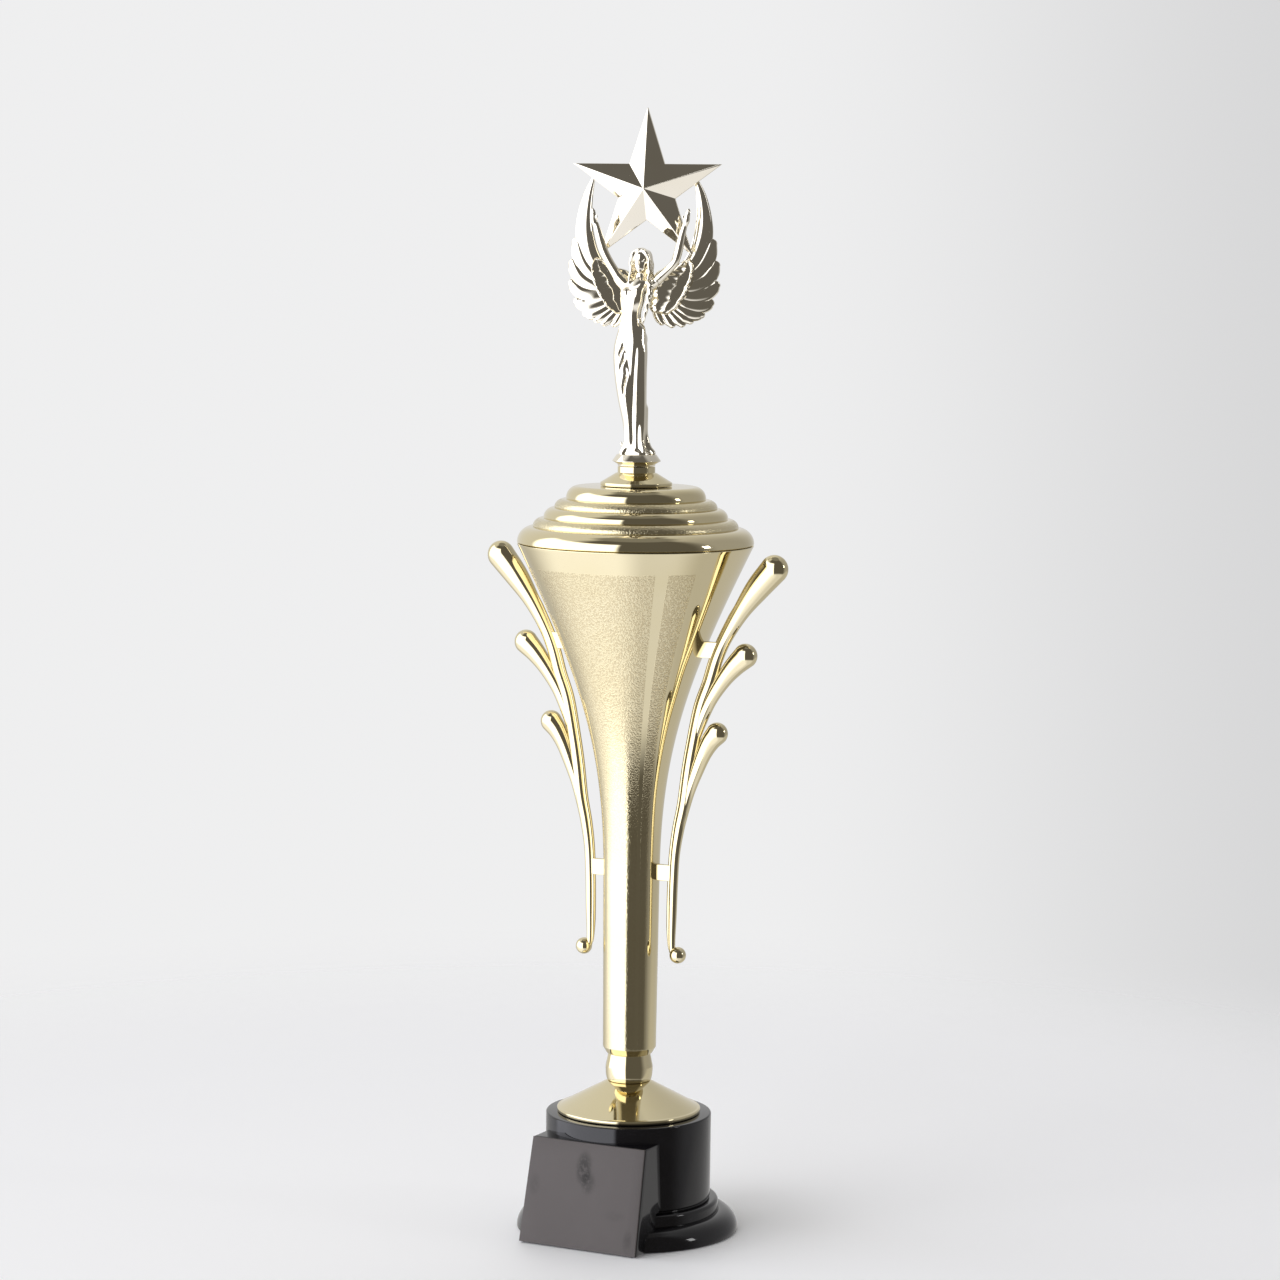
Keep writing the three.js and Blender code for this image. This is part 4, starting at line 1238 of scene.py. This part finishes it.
def hairShells(values):
    # Each strand leaves the parting, follows the skull out and down, and falls to the shoulder; its place
    # waves with the length: p(t) = path(t) + wave * sin(2 pi waves t + phase).
    shells = [ballShell(*values[part], 20, 24) for part in ("skull", "nape")]
    t = np.linspace(0, 1, 40)
    for side in (-1, 1):
        for k in range(values["strands"]):
            back = k / (values["strands"] - 1)
            rows = np.array([
                (side * 0.5, -3.6 + 6.2 * back, 108.0 - 0.9 * (back - 0.4) ** 2, 0),
                (side * 3.4, -3.5 + 6.6 * back, 106.4, 0),
                (side * 4.9, -3.0 + 6.8 * back, 102.2, 0),
                (side * 5.0, -2.7 + 6.6 * back, 97.6, 0),
                (side * (5.2 + 0.7 * back), -2.9 + 6.6 * back, 93.0, 0),
                (side * (5.9 + 0.9 * back), -3.3 + 6.8 * back, 88.4 - 2.4 * back, 0),
            ])
            path = smoothPath(rows, len(t))
            swing = values["wave"] * np.sin(2 * pi * values["waves"] * t + 1.7 * k + side)
            path[:, 0] += side * swing * t
            path[:, 1] += 0.6 * swing
            path[:, 3] = values["radius"] * (0.8 + 0.25 * np.sin(pi * t) - 0.35 * t ** 3)
            shells.append(limbShell(path, 40, 10))
    for phase in (0.0, pi):  # two strands twisted into the long lock
        path = smoothPath(values["longLock"], 60)
        turn = np.linspace(0, 5.5 * pi, 60) + phase
        path[:, 0] += 0.6 * np.cos(turn)
        path[:, 1] += 0.6 * np.sin(turn)
        shells.append(limbShell(path, 60, 12))
    return shells


handShape = {
    "palms": [(-1, -24.9, -0.1), (1, 26.1, 0.12)],  # side, x, how far the fingers tilt, as a slope
    "root": 124.8,
    "reach": (3.4, 4.4, 4.6, 3.8),
    "spacing": 0.62,
}


def fingerShells(values):
    # Four fingers and a thumb on each palm, close together, pointing up.
    root = values["root"]
    shells = []
    for side, palmX, tilt in values["palms"]:
        for k, reach in enumerate(values["reach"]):
            x = palmX + side * (k - 1.5) * values["spacing"]
            y = -0.9 + 0.25 * abs(k - 1.5)
            rows = [(x, y, root, 0.55), (x + tilt * reach * 0.5, y - 0.3, root + reach * 0.55, 0.5),
                    (x + tilt * reach, y + 0.15, root + reach, 0.34)]
            shells.append(limbShell(rows, 14, 8))
        thumb = palmX - side * 1.3
        out = thumb - side * 0.7
        rows = [(thumb, -0.8, 122.6, 0.6), (out, -1.6, 124.4, 0.55), (out, -2.0, 125.8, 0.4)]
        shells.append(limbShell(rows, 14, 8))
    return shells


def calmed(points, faces, weight, passes):
    # Each pass moves a point towards the mean of its neighbours; gives the points and their normals.
    stride = 0.6
    faces = np.array(faces)
    starts = faces[:, [0, 1, 2, 3, 1, 2, 3, 0]].ravel()
    ends = faces[:, [1, 2, 3, 0, 0, 1, 2, 3]].ravel()
    total = len(points)
    count = np.bincount(starts, minlength=total)[:, None]
    for _ in range(passes):
        mean = np.stack([np.bincount(starts, points[ends, k], total) for k in range(3)], -1) / count
        points = points + stride * weight[:, None] * (mean - points)
    corners = points[faces]
    facing = np.cross(corners[:, 2] - corners[:, 0], corners[:, 3] - corners[:, 1])
    owner = faces.ravel()
    spread = np.repeat(facing, 4, axis=0)
    normals = np.stack([np.bincount(owner, spread[:, k], total) for k in range(3)], -1)
    return points, normals / np.linalg.norm(normals, axis=1)[:, None]


def remeshed(shells, voxel, smoothing, calming):
    # The shells become one skin by a voxel grid; gives its points in millimetres, normals and faces.
    points, faces = joined(shells)
    mesh = bpy.data.meshes.new("figureDraft")
    mesh.from_pydata((points * mm).tolist(), [], faces)
    draft = bpy.data.objects.new("figureDraft", mesh)
    bpy.context.scene.collection.objects.link(draft)
    remesh = draft.modifiers.new("skin", "REMESH")
    remesh.mode = "VOXEL"
    remesh.voxel_size = voxel * mm
    remesh.adaptivity = 0
    bpy.context.view_layer.update()
    evaluated = draft.evaluated_get(bpy.context.evaluated_depsgraph_get())
    made = bpy.data.meshes.new_from_object(evaluated)
    points = np.zeros(len(made.vertices) * 3)
    made.vertices.foreach_get("co", points)
    faces = [list(face.vertices) for face in made.polygons]
    bpy.data.objects.remove(draft)
    bpy.data.meshes.remove(mesh)
    bpy.data.meshes.remove(made)
    points = points.reshape(-1, 3) / mm
    points, normals = calmed(points, faces, np.ones(len(points)), smoothing)
    # The dress is calmer than the head, the hair and the hands
    x, z = points[:, 0], points[:, 2]
    gown = ramp(91 - z, 0, 4) * ramp(11 - np.abs(x + 3), 0, 2) * ramp(z, 1, 4)
    points, normals = calmed(points, faces, gown, calming)
    return points, normals, faces


def along(z, rows):
    # A value that runs smoothly through rows of (height, value).
    rows = np.array(rows)
    return np.interp(z, rows[:, 0], rows[:, 1])


def hump(x, width):
    return np.exp(-(x / width) ** 2)


def ramp(x, low, high):
    t = np.clip((x - low) / (high - low), 0, 1)
    return t * t * (3 - 2 * t)


dressCuts = {
    # the groove between the legs, and the short creases on the thigh: height and x, down each of them
    "groove": [(4, -1.2), (14, -1.4), (24, -1.2), (43, -0.2), (58, 1.0), (64, 1.6)],
    "grooveDepth": 0.7,
    "grooveWidth": 1.0,
    "creases": [
        # top height, bottom height, x at the top, x at the bottom, half width, depth
        (59.0, 51.0, -6.6, -8.0, 0.75, 1.1),
        (53.5, 44.0, -5.6, -7.4, 0.8, 1.1),
        (46.0, 31.0, -4.6, -5.7, 0.8, 1.2),
    ],
    "flankFold": [(5, 4.6), (30, 4.8), (58, 4.6)],
    "hemFolds": 0.28,
    "bodiceTop": 86.6,
    "bodiceStep": 0.3,
}


def dress(points, normals, values):
    # Folds are pushed along the normal: grooves are humps across a line, seams are steps over a height.
    x, y, z = points.T
    front = ramp(-normals[:, 1], 0.0, 0.5) * (y < 1)
    rear = ramp(normals[:, 1], 0.0, 0.5)
    torso = (np.abs(x + 2) < 13) * (z < 92)
    groove = hump(x - along(z, values["groove"]), values["grooveWidth"])
    groove = groove * ramp(z, 3, 9) * ramp(-z, -64, -48)
    push = -values["grooveDepth"] * groove * front
    for top, bottom, x0, x1, half, depth in values["creases"]:
        t = np.clip((top - z) / (top - bottom), 0, 1)
        lens = np.sin(pi * t) ** 0.7
        centre = x0 + (x1 - x0) * t + 0.5 * np.sin(2 * pi * t)
        push -= depth * lens * hump(x - centre, half * (0.35 + 0.65 * lens)) * front
    hem = ramp(-z, -26, -6) * ramp(z, 0.5, 3)
    around = np.arctan2(x + 0.4, -y)
    push += values["hemFolds"] * hem * np.sin(9 * around + 0.06 * z) * (0.4 + 0.6 * np.abs(np.sin(around)))
    push += 0.4 * rear * torso * ramp(-z, -66, -50) * ramp(z, 2, 14) * np.sin(1.35 * x + 0.9 + 0.03 * z)
    # one long soft fold on the right flank, then the upper edge of the bodice
    flank = hump(x - along(z, values["flankFold"]), 0.6) * ramp(z, 8, 14) * ramp(-z, -58, -50)
    push += 0.3 * front * flank
    off = x + 2.7  # from the middle of the chest
    edge = values["bodiceTop"] - 0.45 * np.cos(off * 0.95) + 0.05 * off ** 2 * front
    edge = edge - 5 * rear * (1 - hump(off, 9))
    cloth = ramp(edge - z, -0.15, 0.15) * torso * (y < 5)
    gathers = 0.05 * np.sin(3.2 * x) * hump(z - edge + 1.6, 2.0) * front
    push += values["bodiceStep"] * cloth * ramp(z, 76, 84) + gathers * torso * (z > 78)
    return points + normals * push[:, None]


def discGrid(values):
    # The turned foot disc: out to a sharp edge, in to its head, and a bore for the stud from below.
    foot, edge, head = values["discFoot"], values["discEdge"], values["discHead"]
    tall, rise = values["discHeight"], values["discRise"]
    bore, depth = values["studBore"], values["studDepth"]
    corners = [
        (foot, -tall, 0.3),
        (foot + 0.2, -tall + 0.9, 0.3),
        (edge, -tall + rise, 0.18),
        (head, -0.1, 0.35),
        (0.4, 0.35, 0),
        (0.4, 0.2, 0),
        (0.4, -tall + depth, 0),
        (bore, -tall + depth, 0),
        (bore, -tall, 0),
    ]
    return turnedGrid(rounded(corners), 128) / mm


def toWorld(points, values):  # turned to face as the figure does, and lifted onto its disc
    turn = radians(values["turn"])
    feet = spanOf("figure_body")[0][2] + values["discHeight"]
    x, y, z = points.T
    return np.stack([x * cos(turn) - y * sin(turn), x * sin(turn) + y * cos(turn), z + feet], -1) * mm


def lean(points, most):
    # A sideways shift that grows from the chest to the chin, so that the head is over the right leg.
    shift = most * ramp(points[:, 2], 84, 97) * ramp(10 - np.abs(points[:, 0]), 0, 3)
    return points + np.stack([shift, 0 * shift, 0 * shift], -1)


def makeFigure(values):
    # Level ellipses, limbs and balls become one skin, the dress is pushed into it, and the disc is added.
    shells = [levelShell(values["body"], values["twist"])]
    shells += [limbShell(rows) for rows in figureLimbs.values()]
    shells += [ballShell(ball[:3], ball[3:], 18, 24) for ball in figureBalls]
    shells += hairShells(hairShape) + fingerShells(handShape)
    shells = [(lean(points, values["headShift"]), faces) for points, faces in shells]
    passes = values["smoothing"], values["calming"]
    points, normals, faces = remeshed(shells, values["voxel"], *passes)
    points = dress(points, normals, dressCuts)
    disc = sheetOf(discGrid(values), wrapRows=True, wrapColumns=True)
    points, faces = joined([(points, faces), disc])
    placed = toWorld(points, values)
    made = putMesh("figure_cast", placed, faces, "lid_assembly", "figure_gold", "figure_body")
    finished(made, figureTone, 32)
    print("figure has", len(faces), "faces")


# Feathers: the centre line from the covert to the tip as x, height, half width; the order is front to back

wingShape = {
    "back": 8.8,
    "sweep": 2.0,
    "yaw": 0.17,  # how far the lower feathers swing round, as a slope
    "yawFades": (92, 142),
    "span": 39.6,
    "thickness": 1.5,
    "layer": 0.22,
    "ridge": -0.05,
    "feathers": [
        [(18.5, 93, 2.8), (24.2, 98.5, 4.4), (28.6, 105, 5.0), (31.6, 115, 4.9), (32.2, 125, 4.0),
         (30.8, 136, 2.7), (27.8, 145.6, 0.8)],
        [(18.5, 91, 2.8), (25.2, 93.6, 4.2), (30.6, 98.6, 4.5), (34.2, 105.4, 4.1), (36.0, 111.6, 2.6)],
        [(18.5, 88, 2.8), (25.8, 88.8, 4.0), (32, 91.8, 4.3), (35.6, 96.2, 3.9), (37.4, 100.2, 2.5)],
        [(17.5, 85, 2.8), (25.2, 83.8, 3.9), (31.5, 84.6, 4.1), (35.6, 87.2, 3.7), (37.6, 89.6, 2.4)],
        [(16.5, 82, 2.8), (23.7, 79.2, 3.8), (29.4, 78.2, 3.9), (33.0, 79.0, 3.5), (34.8, 80.2, 2.3)],
        [(15.5, 79.6, 2.6), (21.7, 75.8, 3.5), (25.8, 74.2, 3.6), (28.6, 73.8, 3.2), (30.2, 73.9, 2.2)],
        [(12.1, 80, 2.0), (17.4, 75.2, 2.9), (21.4, 72.4, 3.1), (24.6, 70.6, 2.1)],
        [(10.7, 79.5, 2.0), (14.9, 74.2, 2.9), (18.2, 71.0, 3.0), (20.4, 68.9, 2.1)],
        [(8.7, 79, 2.0), (11.4, 73.8, 2.8), (13.6, 70.4, 2.9), (15.2, 68.4, 2.0)],
        [(6.2, 78.5, 2.0), (7.5, 74.2, 2.6), (8.8, 71.4, 2.6), (9.9, 69.6, 1.9)],
    ],
    # the covert: inner side by the back, outer side along the feathers' roots, from the top down
    "covertInner": [(22.4, 102.6), (15, 98.6), (8, 96.4), (3.4, 90), (3.2, 82), (3.6, 77.4), (5.4, 74.8)],
    "covertOuter": [(24.6, 103.4), (26.6, 97.6), (25.6, 91.4), (23.6, 86), (20.6, 80.8), (17.2, 76.6),
                    (12.6, 73.6)],
    "waves": 4.5,
    "waveDepth": 0.75,
    "rim": 0.42,
    "streaks": 11.0,
    "streakDepth": 0.05,
    "scallops": 3.0,
    "scallopDepth": 0.4,
}


def featherShell(rows, middle, thickness, ridge, count=70, sides=36):
    # Across a feather, c runs from -1 to 1: its front is a low roof whose ridge lies at c = ridge, raised
    # again to a fine rim at each edge, and its back is flat. The width closes like an ellipse at the tip.
    path = smoothPath(rows, count)
    way = np.gradient(path[:, :2], axis=0)
    way /= np.linalg.norm(way, axis=1)[:, None]
    t = np.linspace(0, 1, 14)[1:]
    reach = path[-1, 2] * 0.9
    tip = path[-1, :2] + way[-1] * reach * np.sin(t * radians(86))[:, None]
    centre = np.concatenate([path[:, :2], tip])
    half = np.concatenate([path[:, 2], path[-1, 2] * np.cos(t * radians(86))])
    way = np.concatenate([way, np.repeat(way[-1:], len(tip), 0)])
    c = np.linspace(-1, 1, sides // 2 + 1)
    roof = 1 - np.abs(c - ridge) / np.where(c > ridge, 1 - ridge, 1 + ridge)
    front = 0.30 + 0.70 * np.sin(roof * pi / 2) ** 0.9 + 0.16 * hump(np.abs(c) - 0.9, 0.08)
    across = np.concatenate([c, c[::-1]])
    depth = np.concatenate([-front * thickness, 0 * c + thickness * 0.35])
    thin = np.clip(half / half.max(), 0.25, 1)[:, None] ** 0.5
    x = centre[:, :1] + way[:, 1:] * half[:, None] * across
    z = centre[:, 1:] - way[:, :1] * half[:, None] * across
    return np.stack([x, middle(x) + depth * thin, z], -1)


def covertGrid(values, middle):
    # v runs down the panel and u across it; the outer side waves in and out, its edge is a raised rim, and
    # the front carries fine streaks that fan out from the back and three rows of scallops.
    v = np.linspace(0, 1, 150)
    u = np.linspace(0, 1, 60)[None, :]
    inner = smoothPath(values["covertInner"], len(v))
    outer = smoothPath(values["covertOuter"], len(v))
    away = outer - inner
    away /= np.linalg.norm(away, axis=1)[:, None]
    swell = 0.5 + 0.5 * np.abs(np.sin(pi * values["waves"] * v)) ** 0.7
    outer = outer + away * (values["waveDepth"] * (swell - 0.5) * 2)[:, None]
    place = inner[:, None] * (1 - u[..., None]) + outer[:, None] * u[..., None]
    v = v[:, None]
    fan = values["streaks"] * v + 0.9 * u + 0.25 * np.sin(5 * u)
    streak = values["streakDepth"] * np.sin(2 * pi * fan)
    row = values["scallops"] * u + 0.22 * np.abs(np.sin(pi * values["waves"] * v))
    scallop = values["scallopDepth"] * (row % 1) ** 2 * ramp(u, 0.1, 0.3)
    rim = values["rim"] * (hump(u - 0.95, 0.035) + hump(v - 0.02, 0.012) + hump(v - 0.98, 0.012))
    front = values["thickness"] * 1.25 + streak * ramp(u, 0.03, 0.2) + scallop + rim
    front = front * ramp(u, -0.04, 0.03) * ramp(-u, -1.0, -0.985)
    front = front * ramp(v, -0.01, 0.01) * ramp(-v, -1.01, -0.99)
    x = place[..., 0]
    face = np.stack([x, middle(x) - 0.3 - front, place[..., 1]], -1)
    rear = np.stack([x, middle(x) + values["thickness"] * 0.45, place[..., 1]], -1)[:, ::-1]
    return np.concatenate([face, rear], 1)


def makeWing(name, node, side, values):
    # Feathers in layers and the covert over their roots, bent back by a parabola and swung by the yaw.
    def middle(x):
        return values["back"] + values["sweep"] * (x / values["span"]) ** 2

    shells = []
    for k, rows in enumerate(values["feathers"]):
        grid = featherShell(rows, middle, values["thickness"], values["ridge"])
        grid[..., 1] += values["layer"] * (k if k < 6 else 3 + 0.5 * k)
        shells.append(grid)
    shells.append(covertGrid(values, middle))
    shells = [sheetOf(grid * (side, 1, 1), wrapColumns=True, caps=True) for grid in shells]
    points, faces = joined(shells)
    points[:, 1] += values["yaw"] * points[:, 0] * (1 - ramp(points[:, 2], *values["yawFades"]))
    made = putMesh(name, toWorld(points, figureShape), faces, "lid_assembly", "figure_gold", node)
    finished(made, figureTone, 38)


starShape = {
    "centre": (2.3, 139.7),
    "radius": 42.5,
    "notch": 0.382,
    "relief": 7.3,
    "edge": 1.8,
    "front": 5.4,  # y of the outline's front edge
    "soft": 0.14,  # how far each ridge is rounded, either side
    "bevel": 0.3,
}


def starOutline(angle, values):
    # The radius of a five-pointed outline: between a tip and a notch it is the straight line in polar form.
    step = pi / 5
    a = np.abs((angle + step) % (2 * step) - step)
    tip, notch = values["radius"], values["radius"] * values["notch"]
    return tip * notch * sin(step) / (tip * np.sin(a) + notch * np.sin(step - a))


def makeStar(values):
    # The relief is one less the share of the way out to the outline, so each point is a roof of two facets.
    columns, rows = 720, 70
    angle = np.linspace(0, 2 * pi, columns, endpoint=False)
    radius = starOutline(angle, values)
    share = np.concatenate([[0.004], np.linspace(0, 1, rows)[1:] ** 1.15])
    here = share[:, None] * radius
    # Each ridge is softened by averaging the slope over a short way to either side.
    height = np.zeros_like(here)
    spread = np.linspace(-1, 1, 15)
    for offset in spread:
        turn = np.clip(offset * values["soft"] / np.maximum(here, 0.05), -0.6, 0.6)
        height += np.clip(1 - here / starOutline(angle + turn, values), -0.02, 1) / len(spread)
    front = values["front"] - values["relief"] * height
    pull = 1 - values["bevel"] * np.array([0, 0.3, 1.0])[:, None] / radius
    x = [here * np.sin(angle) * pull[2]]
    z = [here * np.cos(angle) * pull[2]]
    y = [front]
    bevel, edge = values["bevel"], values["edge"]
    sides = [(pull[1], bevel * 0.3), (pull[0], bevel), (pull[0], edge - 0.3), (pull[1], edge)]
    for inset, deep in sides:
        x.append((radius * inset * np.sin(angle))[None])
        z.append((radius * inset * np.cos(angle))[None])
        y.append((front[-1] + deep)[None])
    for inner in (0.7, 0.3, 0.02):
        x.append((radius * inner * np.sin(angle))[None])
        z.append((radius * inner * np.cos(angle))[None])
        y.append(0 * radius[None] + values["front"] + values["edge"])
    right, up = values["centre"]
    grid = np.stack([np.concatenate(x) + right, np.concatenate(y), np.concatenate(z) + up], -1)
    points, faces = sheetOf(grid, wrapColumns=True, caps=True)
    made = putMesh("star_cast", toWorld(points, figureShape), faces, "lid_assembly", "figure_gold", "star")
    finished(made, figureTone, 50)


makeFigure(figureShape)
makeWing("left_wing_cast", "left_wing", -1, wingShape)
makeWing("right_wing_cast", "right_wing", 1, wingShape)
makeStar(starShape)
print("figure, wings and star are in place")
